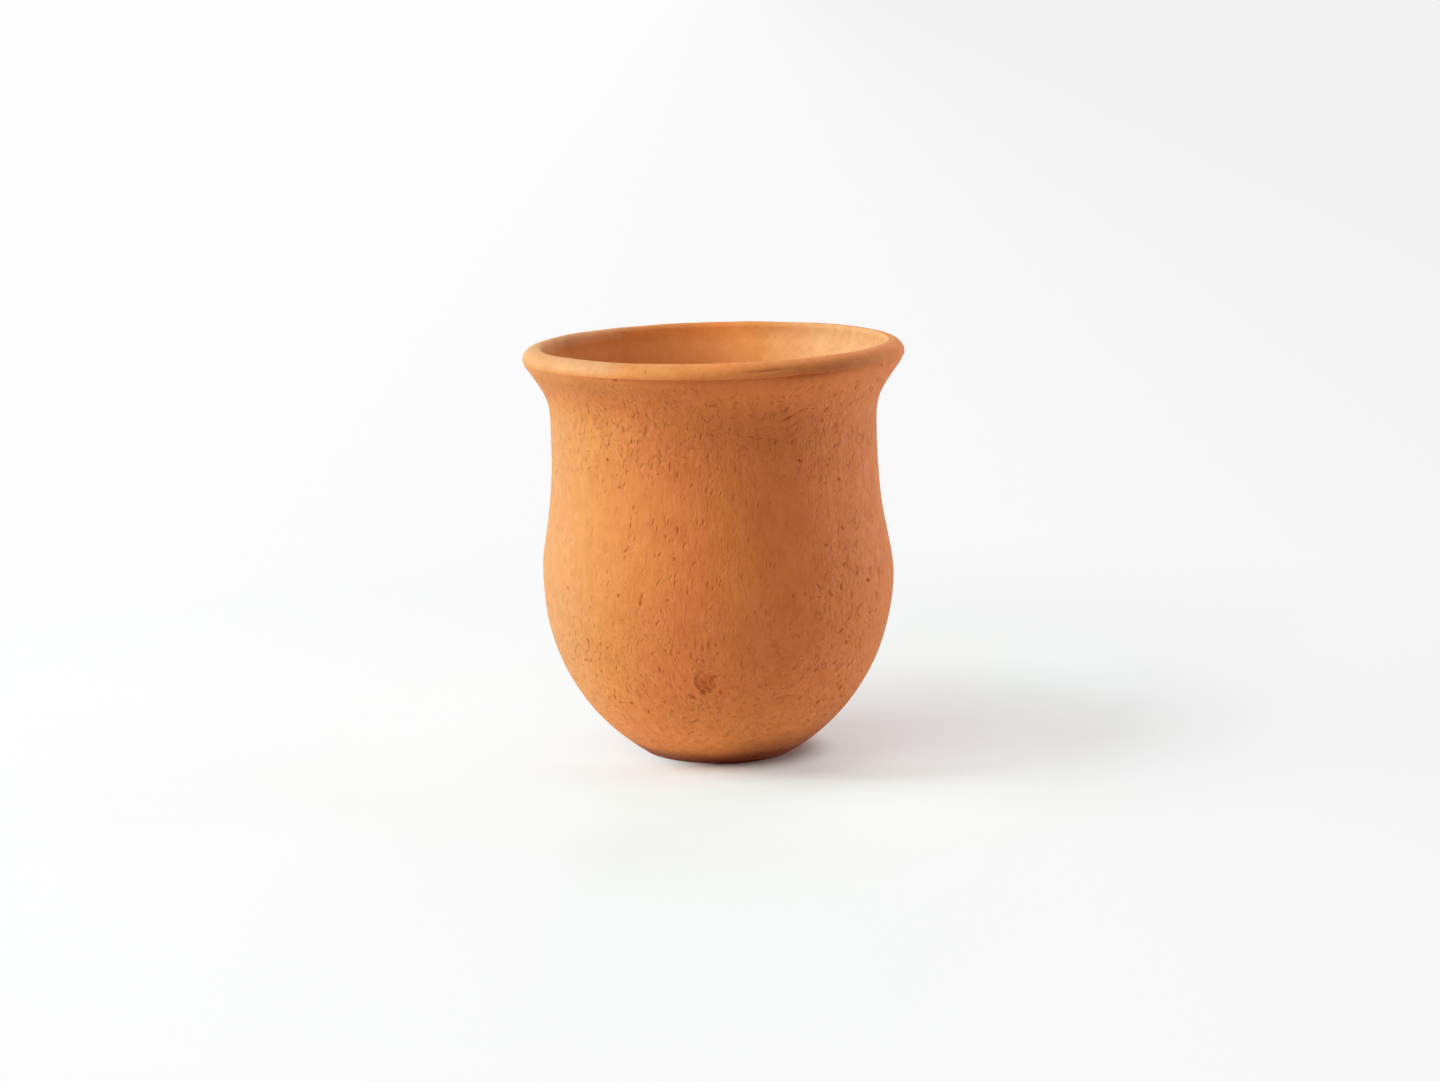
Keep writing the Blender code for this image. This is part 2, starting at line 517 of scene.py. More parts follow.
# Marks that the photograph shows on the wall, by their place in its image
SEEN_MARKS = (
    # Dented and torn patch low on the front
    Mark(706.5, 683, 7.6, 9.0, 10, 0.46, Cup.SOFT),
    Mark(702, 671.8, 1.2, 3.0, 50, 0.34),
    Mark(697.2, 676.8, 1.4, 3.0, 30, 0.36),
    Mark(696.6, 681.5, 1.7, 3.0, 0, 0.30),
    Mark(698.8, 686.8, 1.5, 2.8, -30, 0.46),
    Mark(703.4, 692, 1.6, 3.0, -50, 0.60),
    Mark(707.5, 688.6, 1.3, 3.2, -62, 0.40),
    Mark(693, 697, 1.1, 3.6, -52, 0.55),
    Mark(703, 677, 1.8, 2.0, 0, -0.25, Cup.SOFT),
    Mark(699, 694.5, 1.0, 3.6, -48, -0.30, Cup.SOFT),
    Mark(693.6, 684, 1.0, 4.0, -14, -0.24, Cup.SOFT),
    Mark(704.6, 683.6, 1.2, 2.2, -75, 0.26),
    Mark(711, 681, 0.9, 5.5, 0, 0.34),
    Mark(715.3, 677, 1.5, 2.9, 78, 0.62),
    Mark(715, 686.5, 2.2, 3.4, 5, 0.45, Cup.SOFT),
    Mark(711.2, 690.8, 1.5, 2.2, 55, 0.58),
    Mark(721, 692, 1.2, 1.6, 0, 0.48),
    Mark(702, 700.5, 1.2, 3.0, -50, 0.25, Cup.SOFT),
    Mark(670.8, 685.5, 0.8, 2.8, -30, 0.34),
    Mark(680.6, 688.7, 0.8, 2.6, -35, 0.32),
    Mark(685.5, 681, 0.8, 1.6, 0, 0.28),
    Mark(693.6, 709.6, 0.8, 1.5, 0, 0.26),
    Mark(696, 645.5, 0.8, 4.0, 5, 0.34),
    Mark(703, 648, 0.8, 3.6, -5, 0.36),
    Mark(709, 646, 0.8, 3.6, 10, 0.40),
    Mark(691.5, 655, 0.9, 2.6, 0, 0.28),
    Mark(698, 659.5, 0.8, 1.6, 40, 0.34),
    Mark(703.4, 660.5, 0.9, 1.8, -20, 0.36),
    Mark(731, 655, 0.8, 2.2, 0, 0.12),
    Mark(736, 654, 0.8, 1.8, 0, 0.12),
    Mark(729, 660, 0.8, 1.6, 50, 0.10),
    Mark(726, 666, 1.6, 2.4, 0, 0.14, Cup.SOFT),
    Mark(679, 653, 1.0, 1.6, 80, 0.34),
    Mark(665.4, 651, 1.0, 1.7, 60, 0.36),
    Mark(659.6, 670, 0.9, 2.4, 0, 0.46),
    Mark(699.4, 721.3, 0.9, 1.2, -20, 0.26),
    Mark(729, 714, 0.7, 2.2, 50, 0.24),
    Mark(723, 719, 0.7, 1.6, 60, 0.24),
    Mark(742, 678, 1.0, 1.6, 0, 0.28),
    Mark(763, 667, 1.0, 1.2, 0, 0.24),
    Mark(757, 711.5, 1.1, 1.6, 30, 0.30),
    Mark(740, 711, 0.8, 2.4, 75, 0.28),
    # Left of the middle, from the neck down
    Mark(602, 405, 0.8, 1.8, 0, 0.34),
    Mark(606, 410, 0.9, 1.6, -30, 0.40),
    Mark(635, 415, 0.7, 2.6, 35, 0.25),
    Mark(624, 430, 0.8, 2.4, 0, 0.34),
    Mark(646, 432, 0.9, 3.4, 5, 0.42),
    Mark(664, 422, 0.9, 1.6, 0, 0.28),
    Mark(672, 424, 1.0, 1.4, 30, 0.25),
    Mark(608, 460, 1.2, 1.2, 0, 0.56),
    Mark(622, 456, 0.8, 2.4, -5, 0.44),
    Mark(638, 453, 0.8, 1.3, 20, 0.22),
    Mark(655, 457, 0.7, 2.4, 35, 0.25),
    Mark(620, 488, 1.3, 1.3, 0, 0.52),
    Mark(634, 508, 1.0, 2.0, 5, 0.46),
    Mark(637, 514, 0.9, 1.2, -15, 0.35),
    Mark(647, 498, 0.9, 1.6, 0, 0.25),
    Mark(650, 509, 0.6, 2.6, 40, 0.16),
    Mark(678, 475, 0.8, 2.4, 0, 0.35),
    Mark(692, 485, 0.8, 2.0, 0, 0.28),
    Mark(684, 489, 0.7, 2.4, 40, 0.25),
    Mark(678, 530, 1.0, 2.8, 5, 0.45),
    Mark(666, 537, 1.2, 1.5, 20, 0.34),
    Mark(673, 541, 0.8, 2.2, 35, 0.20),
    Mark(665, 518, 0.7, 2.0, 35, 0.25),
    Mark(626, 551, 1.0, 1.8, 15, 0.46),
    Mark(660, 555, 1.0, 3.0, 45, 0.32),
    Mark(675, 559, 1.0, 1.4, 15, 0.34),
    Mark(694, 564, 0.8, 3.6, 35, 0.30),
    Mark(637, 569, 0.5, 3.6, 40, 0.25),
    Mark(568, 588, 1.3, 1.8, 0, 0.58),
    Mark(619, 596, 1.2, 1.6, 15, 0.60),
    Mark(641, 603, 1.1, 3.4, 5, 0.48),
    Mark(668, 601, 1.1, 1.5, 0, 0.36),
    Mark(688, 592, 1.0, 1.5, 0, 0.34),
    Mark(614, 625, 0.8, 2.0, 30, 0.22),
    Mark(589, 643, 1.3, 4.0, 0, 0.48),
    Mark(598, 647, 0.8, 2.8, 40, 0.30),
    Mark(608, 648, 1.2, 1.4, 0, 0.45),
    Mark(592, 660, 1.0, 1.2, 30, 0.36),
    Mark(615, 697, 1.2, 2.4, 5, 0.50),
    Mark(684, 718, 1.0, 1.2, -20, 0.42),
    Mark(617, 656, 0.9, 2.2, -10, 0.32),
    Mark(586, 660, 0.9, 1.2, 0, 0.32),
    Mark(641, 661, 0.9, 1.2, 30, 0.28),
    Mark(602, 671, 1.0, 1.4, 30, 0.34),
    Mark(642, 677, 0.9, 2.2, -15, 0.32),
    Mark(622, 702.5, 0.9, 2.6, 80, 0.46),
    Mark(632, 703, 1.0, 1.8, 70, 0.46),
    Mark(649, 711.5, 0.9, 1.8, 5, 0.40),
    Mark(672.5, 711, 1.0, 1.6, 0, 0.34),
    Mark(657, 723, 1.0, 1.6, 40, 0.30),
    Mark(693, 728, 1.2, 1.6, 30, 0.28),
    # Right of the middle
    Mark(713, 406, 0.9, 3.2, 75, 0.42),
    Mark(677, 402, 0.7, 2.2, 80, 0.36),
    Mark(736, 403, 1.0, 1.2, 0, 0.42),
    Mark(789, 417, 0.8, 5.6, 65, 0.40),
    Mark(785, 411, 0.9, 2.0, 70, 0.32),
    Mark(826, 409, 0.8, 2.4, 35, 0.42),
    Mark(822, 420, 0.9, 1.8, -5, 0.40),
    Mark(842, 391, 1.1, 1.0, 0, 0.44),
    Mark(836, 394, 1.0, 1.0, 30, 0.40),
    Mark(775, 441, 0.8, 2.0, -10, 0.38),
    Mark(792, 442, 1.05, 1.1, 0, 0.38),
    Mark(800, 460, 1.25, 1.6, 15, 0.52),
    Mark(839, 479, 1.25, 1.5, -15, 0.54),
    Mark(827, 465, 1.05, 0.9, 0, 0.38),
    Mark(825, 483, 1.25, 0.9, 0, 0.38),
    Mark(756, 522, 0.9, 1.2, 0, 0.24),
    Mark(842, 528, 1.15, 2.0, -40, 0.38),
    Mark(826, 545, 1.15, 1.3, 0, 0.50),
    Mark(844, 565, 0.95, 2.4, 10, 0.36),
    Mark(857, 573, 1.05, 2.6, 0, 0.30),
    Mark(870, 568, 1.05, 2.2, 40, 0.40),
    Mark(879, 572, 1.05, 3.6, 20, 0.48),
    Mark(868, 580, 1.45, 1.4, 0, 0.58),
    Mark(841, 586, 1.25, 2.2, 20, 0.40),
    Mark(819, 587, 0.95, 2.4, -40, 0.44),
    Mark(830, 593, 0.95, 2.8, -35, 0.38),
    Mark(877, 594, 1.15, 2.6, -15, 0.36),
    Mark(756, 612, 0.8, 2.0, 40, 0.28),
    Mark(842, 630, 1.3, 1.4, -20, 0.38),
    Mark(846, 642, 1.2, 1.8, 0, 0.58),
    Mark(799, 636, 1.35, 1.4, 0, 0.38),
    Mark(834, 663, 1.35, 2.2, 50, 0.36),
    Mark(848, 665, 1.2, 1.4, 0, 0.56),
    Mark(816, 670, 1.05, 2.2, 40, 0.50),
    Mark(794, 668, 1.15, 1.4, 30, 0.40),
    Mark(840, 688, 0.95, 3.0, 30, 0.46),
    Mark(837, 684, 0.95, 2.2, -50, 0.42),
    Mark(800, 698, 1.35, 2.2, 0, 0.50),
    Mark(818, 702, 1.25, 2.0, 10, 0.60),
    Mark(718, 654, 0.9, 2.2, 0, 0.24),
    Mark(768, 729, 1.1, 1.3, 0, 0.45),
    Mark(771, 719, 0.8, 2.6, 70, 0.40),
    Mark(748, 726, 1.0, 1.2, 0, 0.38),
    Mark(793.4, 595.5, 1.2, 2.0, 10, 0.38),
    Mark(805, 593.5, 1.0, 1.6, 0, 0.32),
    Mark(810.5, 598, 1.0, 1.4, 30, 0.28),
    Mark(816, 613, 1.0, 2.4, 0, 0.26),
    Mark(851.6, 594, 0.9, 3.0, 0, 0.34),
    Mark(859, 615, 1.3, 1.6, 20, 0.48),
    Mark(870, 612.3, 1.2, 1.3, 0, 0.46),
    Mark(845.5, 624, 1.1, 2.4, -5, 0.32),
    Mark(815.7, 655, 1.1, 1.8, 10, 0.25),
    Mark(861, 671, 1.3, 1.2, 0, 0.62),
    Mark(801.5, 678, 1.0, 2.0, 30, 0.38),
    Mark(832.5, 698.5, 0.8, 2.8, 75, 0.38),
    Mark(822.5, 637.5, 0.9, 2.0, 40, 0.22),
    Mark(855.5, 387.5, 1.1, 1.2, 0, 0.50),
    Mark(841, 404.3, 1.0, 1.2, 20, 0.46),
    Mark(800, 410.5, 0.8, 1.6, 30, 0.26),
    Mark(780.5, 405.3, 0.8, 1.4, 0, 0.26),
    # Under and on the lip
    Mark(615, 381, 1.1, 1.5, 70, 0.62),
    Mark(646, 372, 1.1, 1.1, 0, 0.45),
    Mark(882, 366, 1.1, 1.2, 0, 0.55),
    Mark(828, 372, 1.0, 1.4, 40, 0.30),
    Mark(773, 386, 0.7, 2.0, 40, 0.36),
    Mark(808, 390, 0.5, 2.8, 20, 0.22),
    Mark(543, 381, 1.0, 2.6, -40, 0.50),
)


@dataclass(frozen=True)
class LipFold:
    """A line where the lip's rolled clay laps over the wall, deepest at one turn and fading from there."""

    turn: float
    spread: float
    drop_mm: float
    climb_mm: float
    depth_mm: float
    above_mm: float
    below_mm: float
    climb_limit: float = 1.5

    def press(self, along: Array, height_to_along: tuple[Array, Array], turns: Array, top: float) -> Array:
        """Return how deep the line is pressed: depth times a bell across it times a bell along it.

        The bell across the line is narrow above it and wide below it, so the lip overhangs the wall.

        Args:
            along: Distance along the outline of each row, as a column.
            height_to_along: Heights on the lip, rising, and their distances along the outline.
            turns: Turn of each column in degrees.
            top: Height of the rim.

        Returns:
            Displacements, negative into the clay, for each row and column.
        """
        off = (turns - self.turn + 180.0) % 360.0 - 180.0
        fade = np.exp(-((off / self.spread) ** 2))
        climb = self.climb_mm * np.clip(off / self.spread, -self.climb_limit, self.climb_limit)
        drop = (self.drop_mm - climb) * MM
        line = np.interp(top - drop, *height_to_along)
        past = along - line
        reach = np.where(past < 0.0, self.above_mm, self.below_mm) * MM
        return -self.depth_mm * MM * fade * np.exp(-((past / reach) ** 2))


# Spread, in degrees, of a fold that runs round the whole lip
ALL_ROUND = 1.0e6

LIP_FOLDS = (
    LipFold(0.0, ALL_ROUND, 4.6, 0.0, 0.16, 0.30, 1.3),
    LipFold(2.0, 42.0, 4.6, 0.1, 0.55, 0.24, 1.6),
    LipFold(-150.0, 50.0, 4.5, 0.2, 0.35, 0.30, 1.5),
    LipFold(110.0, 34.0, 4.7, -0.2, 0.30, 0.30, 1.4),
    LipFold(16.0, 8.0, 2.3, 0.3, 0.45, 0.35, 0.55),
    LipFold(36.0, 13.0, 3.0, 0.3, 0.65, 1.20, 1.9),
    LipFold(27.0, 5.0, 4.6, 0.0, 0.35, 0.50, 1.2),
    LipFold(-35.0, 8.0, 6.6, 0.0, 0.14, 0.40, 0.8),
)


@dataclass(frozen=True)
class Patch:
    """A soft patch on the wall about one turn and height, and how strong it is there."""

    turn: float
    spread: float
    height: float
    reach: float
    strength: float

    def share(self, points: Array) -> Array:
        """Return the strength times a bell of the turn and a bell of the height.

        Args:
            points: Rows of x, y and z of the upright form.

        Returns:
            Strengths, for each point.
        """
        turns = np.degrees(np.arctan2(points[:, 0], -points[:, 1]))
        off = (turns - self.turn) / self.spread
        return self.strength * np.exp(-(off ** 2) - ((points[:, 2] - self.height) / self.reach) ** 2)


# Painted light and shade on the wall
PAINTED_LIGHT_AND_SHADE = (
    # Painted shade in the neck
    Patch(-3.0, 26.0, 0.1100, 0.0100, -0.10),
    # Painted shadow under the lip on the left, painted light under it on the right
    Patch(-42.0, 30.0, 0.1220, 0.0035, -0.14),
    Patch(18.0, 17.0, 0.1200, 0.0050, 0.12),
    # On the lip: painted shade on its right, painted highlight on its front and left
    Patch(42.0, 23.0, 0.1275, 0.0019, -0.22),
    Patch(4.0, 18.0, 0.1295, 0.0026, 0.13),
    Patch(-34.0, 14.0, 0.1262, 0.0015, 0.10),
    # Painted light above the foot, painted shade low on the right
    Patch(-8.0, 26.0, 0.0100, 0.0050, 0.13),
    Patch(75.0, 24.0, 0.0140, 0.0090, -0.18),
)
# Painted shade in the gouge low on the front, in the dark red of the pits
PAINTED_GOUGE_SHADE = Patch(-3.4, 4.6, 0.0302, 0.0040, 0.26)


@dataclass(frozen=True)
class StrayMarks:
    """Marks scattered on the part of the wall that the photograph doesn't show, from a fixed seed."""

    count: int = 150
    seed: int = 11
    clear_turn: float = 74.0
    clear_foot: float = 0.004
    clear_rim: float = 0.010
    widths_mm: Point = (0.7, 1.25)
    depths_mm: Point = (0.22, 0.48)
    stretches: tuple[float, ...] = (1.1, 1.6, 2.4, 3.4)
    stretch_odds: tuple[float, ...] = (0.35, 0.25, 0.25, 0.15)
    slants: tuple[float, ...] = (0.0, 0.0, 8.0, 35.0, 45.0, -35.0)

    def scatter(self, outline: Outline, top: float) -> tuple[Array, Array, list[Mark]]:
        """Place marks evenly over the area of the outside.

        A row is drawn by the area that it has, and sizes follow those of the marks in the photograph.

        Args:
            outline: The pot's outline, cut into rows.
            top: Height of the rim.

        Returns:
            Turn in degrees and row of each mark, and the marks.
        """
        rng = np.random.default_rng(self.seed)
        open_rows = (outline.height < top - self.clear_rim) & (outline.height > self.clear_foot)
        open_rows &= outline.inside == Side.OUTSIDE.value
        area = np.where(open_rows, outline.radius, 0.0) * np.gradient(outline.along)
        rows = rng.choice(area.size, self.count, p=area / area.sum())
        turns = rng.uniform(self.clear_turn, 360.0 - self.clear_turn, self.count)
        width = rng.uniform(*self.widths_mm, self.count)
        length = width * rng.choice(self.stretches, self.count, p=self.stretch_odds)
        slant = rng.choice(self.slants, self.count)
        depth = rng.uniform(*self.depths_mm, self.count)
        sizes = zip(width, length, slant, depth)
        return turns, rows.astype(float), [Mark(0.0, 0.0, w, h, s, d) for w, h, s, d in sizes]


Socket = bpy.types.NodeSocket
Value = Union[float, int, Colour, Triple, Socket]


@dataclass(frozen=True)
class Grain:
    """A noise pattern: its scale per metre, detail and roughness, and the ramp along which it is eased."""

    scale: float
    detail: float = 2.0
    rough: float = 0.5
    ramp: Ramp = Ramp(0.0, 1.0)


class NodeSheet:
    """A short way to add nodes to a material or world and join them."""

    def __init__(self, tree: bpy.types.NodeTree) -> None:
        """Start with an empty sheet of a node tree."""
        self.tree = tree
        tree.nodes.clear()

    def add(self, kind: str, inputs: dict[Union[str, int], Value], **settings: object) -> bpy.types.Node:
        """Add a node, set its inputs and join those that are given as sockets.

        Args:
            kind: Blender's name of the node's type.
            inputs: Value or socket for each input, by name or number.
            settings: Values of the node's own properties.

        Returns:
            The new node.
        """
        node = self.tree.nodes.new(kind)
        for name, setting in settings.items():
            setattr(node, name, setting)
        for name, value in inputs.items():
            if isinstance(value, Socket):
                self.tree.links.new(value, node.inputs[name])
            else:
                node.inputs[name].default_value = value
        return node

    def math(self, operation: str, first: Value, second: Value = 0.0, third: Value = 0.0) -> Socket:
        """Return the result of a Math node of up to three values."""
        node = self.add("ShaderNodeMath", {0: first, 1: second, 2: third}, operation=operation)
        return node.outputs[0]

    def blend(self, share: Value, first: Value, second: Value, way: str = "MIX") -> Socket:
        """Return two colours mixed by a share."""
        node = self.add("ShaderNodeMix", {0: share, 6: first, 7: second}, data_type="RGBA", blend_type=way)
        return node.outputs[2]

    def chain(self, operation: str, *values: Value) -> Socket:
        """Return the result of Math nodes that take in the values one after another."""
        return reduce(lambda so_far, value: self.math(operation, so_far, value), values)

    def span(self, value: Value, ramp: Ramp, first: float = 0.0) -> Socket:
        """Return a value eased along a ramp, from a first number to the ramp's weight."""
        inputs = {0: value, 1: ramp.start, 2: ramp.end, 3: first, 4: ramp.weight}
        return self.add("ShaderNodeMapRange", inputs, interpolation_type="SMOOTHSTEP").outputs[0]

    def stretch(self, vector: Socket, scale: Triple, lean: float = 0.0) -> Socket:
        """Return coordinates leant about Y and scaled along each axis."""
        leant = self.add("ShaderNodeMapping", {"Vector": vector, "Rotation": (0.0, lean, 0.0)}).outputs[0]
        return self.add("ShaderNodeMapping", {"Vector": leant, "Scale": scale}).outputs[0]

    def noise(self, vector: Socket, grain: Grain, output: str = "Fac") -> Socket:
        """Return the value or colour of a noise pattern, about a half on average."""
        inputs = {"Vector": vector, "Scale": grain.scale, "Detail": grain.detail, "Roughness": grain.rough}
        return self.add("ShaderNodeTexNoise", inputs).outputs[output]

    def cloud(self, vector: Socket, grain: Grain, first: float = 0.0) -> Socket:
        """Return a noise pattern eased along its ramp, from a first number to the ramp's weight."""
        return self.span(self.noise(vector, grain), grain.ramp, first)

    def attribute(self, name: str) -> Socket:
        """Return a number that the mesh carries."""
        return self.add("ShaderNodeAttribute", {}, attribute_name=name).outputs["Fac"]


@dataclass(frozen=True)
class TerracottaFinish:
    """Unglazed fired clay: mottled orange, dusty and dry, dragged, pitted and grainy."""

    # The clay, its drifts, the paler colours of its painted highlight, and the dark red of its painted shade
    clay: Colour = (0.700, 0.187, 0.042, 1.0)
    ochre: Colour = (0.700, 0.196, 0.041, 1.0)
    rose: Colour = (0.706, 0.182, 0.050, 1.0)
    painted_highlight_sand: Colour = (0.700, 0.245, 0.062, 1.0)
    painted_highlight_buff: Colour = (0.700, 0.330, 0.145, 1.0)
    # Dark red of the painted shade in hollows, dashes, crinkles' lows, the gouge and at the foot
    pit: Colour = (0.440, 0.068, 0.008, 1.0)
    # Drift of the clay's own orange to ochre and, in patches, to rose
    drift: Grain = Grain(38.0, 3.0, 0.55, Ramp(0.36, 0.64))
    patch: Grain = Grain(120.0, 3.0, 0.6, Ramp(0.40, 0.66, 0.7))
    # Flecks: three noises multiplied, under which green and blue fall faster than red
    shade: Grain = Grain(520.0, 4.0, 0.65, Ramp(0.25, 0.75, 1.03))
    shade_stretch: Triple = (1.0, 1.0, 0.5)
    speck: Grain = Grain(1900.0, 2.0, 0.6, Ramp(0.2, 0.8, 1.03))
    mottle: Grain = Grain(170.0, 3.0, 0.6, Ramp(0.3, 0.7, 1.035))
    fleck_least: float = 0.965
    green_fall: float = 1.8
    blue_fall: float = 3.0
    # Share of the painted dark red shade in dashes, in hollows and in the crinkles' lows
    painted_dash_shade: float = 0.14
    painted_hollow_shade: float = 0.60
    painted_crinkle_shade: float = 0.16
    crinkle_low: Ramp = Ramp(0.32, 0.50, 0.0)
    painted_shade_most: float = 0.8
    # Sheen of dust on a dry skin
    specular: float = 0.25
    sheen: float = 0.06
    sheen_roughness: float = 0.45
    sheen_tint: Colour = (1.0, 0.80, 0.62, 1.0)
    gloss: Grain = Grain(300.0, 3.0, 0.5, Ramp(0.3, 0.7, 0.78))
    rough_least: float = 0.62
    # Relief: drag marks, dashes, crinkles, grooves and grain
    drag_mm: float = 0.25
    drag: Grain = Grain(900.0, 3.0, 0.55)
    drag_stretch: Triple = (1.0, 1.0, 0.24)
    dash_mm: float = 0.30
    dash_cells: float = 620.0
    dash_stretch: Triple = (1.0, 1.0, 0.38)
    dash_lean: float = math.radians(-16.0)
    dash_edge: Ramp = Ramp(0.10, 0.34, 0.0)
    dash_kept: Ramp = Ramp(0.40, 0.85)
    sway: Grain = Grain(260.0)
    sway_reach: float = 0.0022
    crinkle_mm: float = 0.95
    crinkle: Grain = Grain(430.0, 3.0, 0.6)
    groove_mm: float = 0.42
    groove: Grain = Grain(340.0, 1.5)
    groove_stretch: Triple = (1.0, 1.0, 0.6)
    groove_edge: Ramp = Ramp(0.0, 0.045, 0.0)
    groove_gaps: Grain = Grain(410.0, 2.0, 0.5, Ramp(0.50, 0.60))
    grain_mm: float = 0.10
    grain: Grain = Grain(2100.0, 2.0, 0.6)
    noise_middle: float = 0.5

    def body(self, sheet: NodeSheet, place: Socket) -> Socket:
        """Drift the clay from its own orange to ochre and rose, and on from there to the paler colours of a
        painted highlight.

        The first half of the highlight's share leads to its sandy colour, and the second half on to its
        paler, yellower one.

        Args:
            sheet: The material's nodes.
            place: Coordinates on the object.

        Returns:
            The colour, before flecks and pits.
        """
        body = sheet.blend(sheet.cloud(place, self.drift), self.clay, self.ochre)
        body = sheet.blend(sheet.cloud(place, self.patch), body, self.rose)
        # Share of the painted highlight, which the mesh carries
        pale = sheet.attribute("pale")
        body = sheet.blend(sheet.math("MULTIPLY", pale, 2.0), body, self.painted_highlight_sand)
        return sheet.blend(sheet.math("MULTIPLY_ADD", pale, 2.0, -1.0), body, self.painted_highlight_buff)

    def tint(self, sheet: NodeSheet, place: Socket) -> Socket:
        """Fleck the clay and lay on its painted light and shade: the flecks' product, green and blue raised
        to powers, times the painted light and shade.

        Args:
            sheet: The material's nodes.
            place: Coordinates on the object.

        Returns:
            The colour by which the clay's own is multiplied.
        """
        upright = sheet.stretch(place, self.shade_stretch)
        fleck = sheet.chain(
            "MULTIPLY",
            sheet.cloud(upright, self.shade, self.fleck_least),
            sheet.cloud(place, self.speck, self.fleck_least),
            sheet.cloud(place, self.mottle, self.fleck_least),
        )
        # Painted light and shade, which the mesh carries
        painted_light_shade = sheet.attribute("painted_light_shade")
        red = sheet.math("MULTIPLY", fleck, painted_light_shade)
        green = sheet.math("MULTIPLY", sheet.math("POWER", fleck, self.green_fall), painted_light_shade)
        blue = sheet.math("MULTIPLY", sheet.math("POWER", fleck, self.blue_fall), painted_light_shade)
        return sheet.add("ShaderNodeCombineColor", {0: red, 1: green, 2: blue}).outputs[0]

    def colour(self, sheet: NodeSheet, place: Socket, dashes: Socket, crinkle: Socket) -> Socket:
        """Tint the clay, and paint a dark red shade on it in dashes, in hollows and in the lows of worn
        crinkles.

        Args:
            sheet: The material's nodes.
            place: Coordinates on the object.
            dashes: Depth of the fine dashes, 0 to 1.
            crinkle: Height of the crinkles, about a half.

        Returns:
            The colour.
        """
        body = sheet.blend(1.0, self.body(sheet, place), self.tint(sheet, place), "MULTIPLY")
        low = sheet.span(crinkle, self.crinkle_low, self.painted_crinkle_shade)
        painted_shade = sheet.chain(
            "ADD",
            sheet.math("MULTIPLY", dashes, self.painted_dash_shade),
            sheet.math("MULTIPLY", sheet.attribute("hollow"), self.painted_hollow_shade),
            sheet.math("MULTIPLY", low, sheet.attribute("worn")),
        )
        return sheet.blend(sheet.math("MINIMUM", painted_shade, self.painted_shade_most), body, self.pit)

    def dashes(self, sheet: NodeSheet, place: Socket) -> Socket:
        """Scatter short upright dashes: the middles of cells stretched up the wall, in some cells only.

        Args:
            sheet: The material's nodes.
            place: Coordinates on the object.

        Returns:
            Depth of the dashes, 0 to 1.
        """
        reach = (self.sway_reach,) * 3
        swayed = {0: sheet.noise(place, self.sway, "Color"), 1: reach, 2: place}
        moved = sheet.add("ShaderNodeVectorMath", swayed, operation="MULTIPLY_ADD").outputs[0]
        upright = sheet.stretch(moved, self.dash_stretch, self.dash_lean)
        cells = sheet.add("ShaderNodeTexVoronoi", {"Vector": upright, "Scale": self.dash_cells}).outputs
        dip = sheet.span(cells["Distance"], self.dash_edge, 1.0)
        chosen = sheet.add("ShaderNodeSeparateColor", {0: cells["Color"]}).outputs[0]
        return sheet.math("MULTIPLY", dip, sheet.span(chosen, self.dash_kept))

    def grooves(self, sheet: NodeSheet, place: Socket) -> Socket:
        """Draw short curved grooves: the lines on which a slow noise is a half, broken up by a second one.

        Args:
            sheet: The material's nodes.
            place: Coordinates on the object.

        Returns:
            Depth of the grooves, 0 to 1.
        """
        slow = sheet.noise(sheet.stretch(place, self.groove_stretch), self.groove)
        off = sheet.math("ABSOLUTE", sheet.math("SUBTRACT", slow, self.noise_middle))
        kept = sheet.cloud(place, self.groove_gaps)
        return sheet.math("MULTIPLY", sheet.span(off, self.groove_edge, 1.0), kept)

    def relief(self, sheet: NodeSheet, place: Socket, dashes: Socket, crinkle: Socket) -> Socket:
        """Bump the normal by the heights of all the relief, added in millimetres.

        Drag marks and dashes follow the mesh's coarseness, and crinkles and grooves its wear.

        Args:
            sheet: The material's nodes.
            place: Coordinates on the object.
            dashes: Depth of the fine dashes, 0 to 1.
            crinkle: Height of the crinkles, about a half.

        Returns:
            The normal.
        """
        coarse = sheet.attribute("coarse")
        drag = sheet.noise(sheet.stretch(place, self.drag_stretch), self.drag)
        drag = sheet.math("SUBTRACT", drag, self.noise_middle)
        ridge = sheet.math("MULTIPLY", crinkle, self.crinkle_mm)
        groove = sheet.math("MULTIPLY", self.grooves(sheet, place), -self.groove_mm)
        height = sheet.chain(
            "ADD",
            sheet.chain("MULTIPLY", drag, self.drag_mm, coarse),
            sheet.chain("MULTIPLY", dashes, -self.dash_mm, coarse),
            sheet.math("MULTIPLY", sheet.noise(place, self.grain), self.grain_mm),
            sheet.math("MULTIPLY", sheet.math("ADD", ridge, groove), sheet.attribute("worn")),
        )
        bump = sheet.add("ShaderNodeBump", {"Strength": 1.0, "Distance": MM, "Height": height})
        return bump.outputs[0]

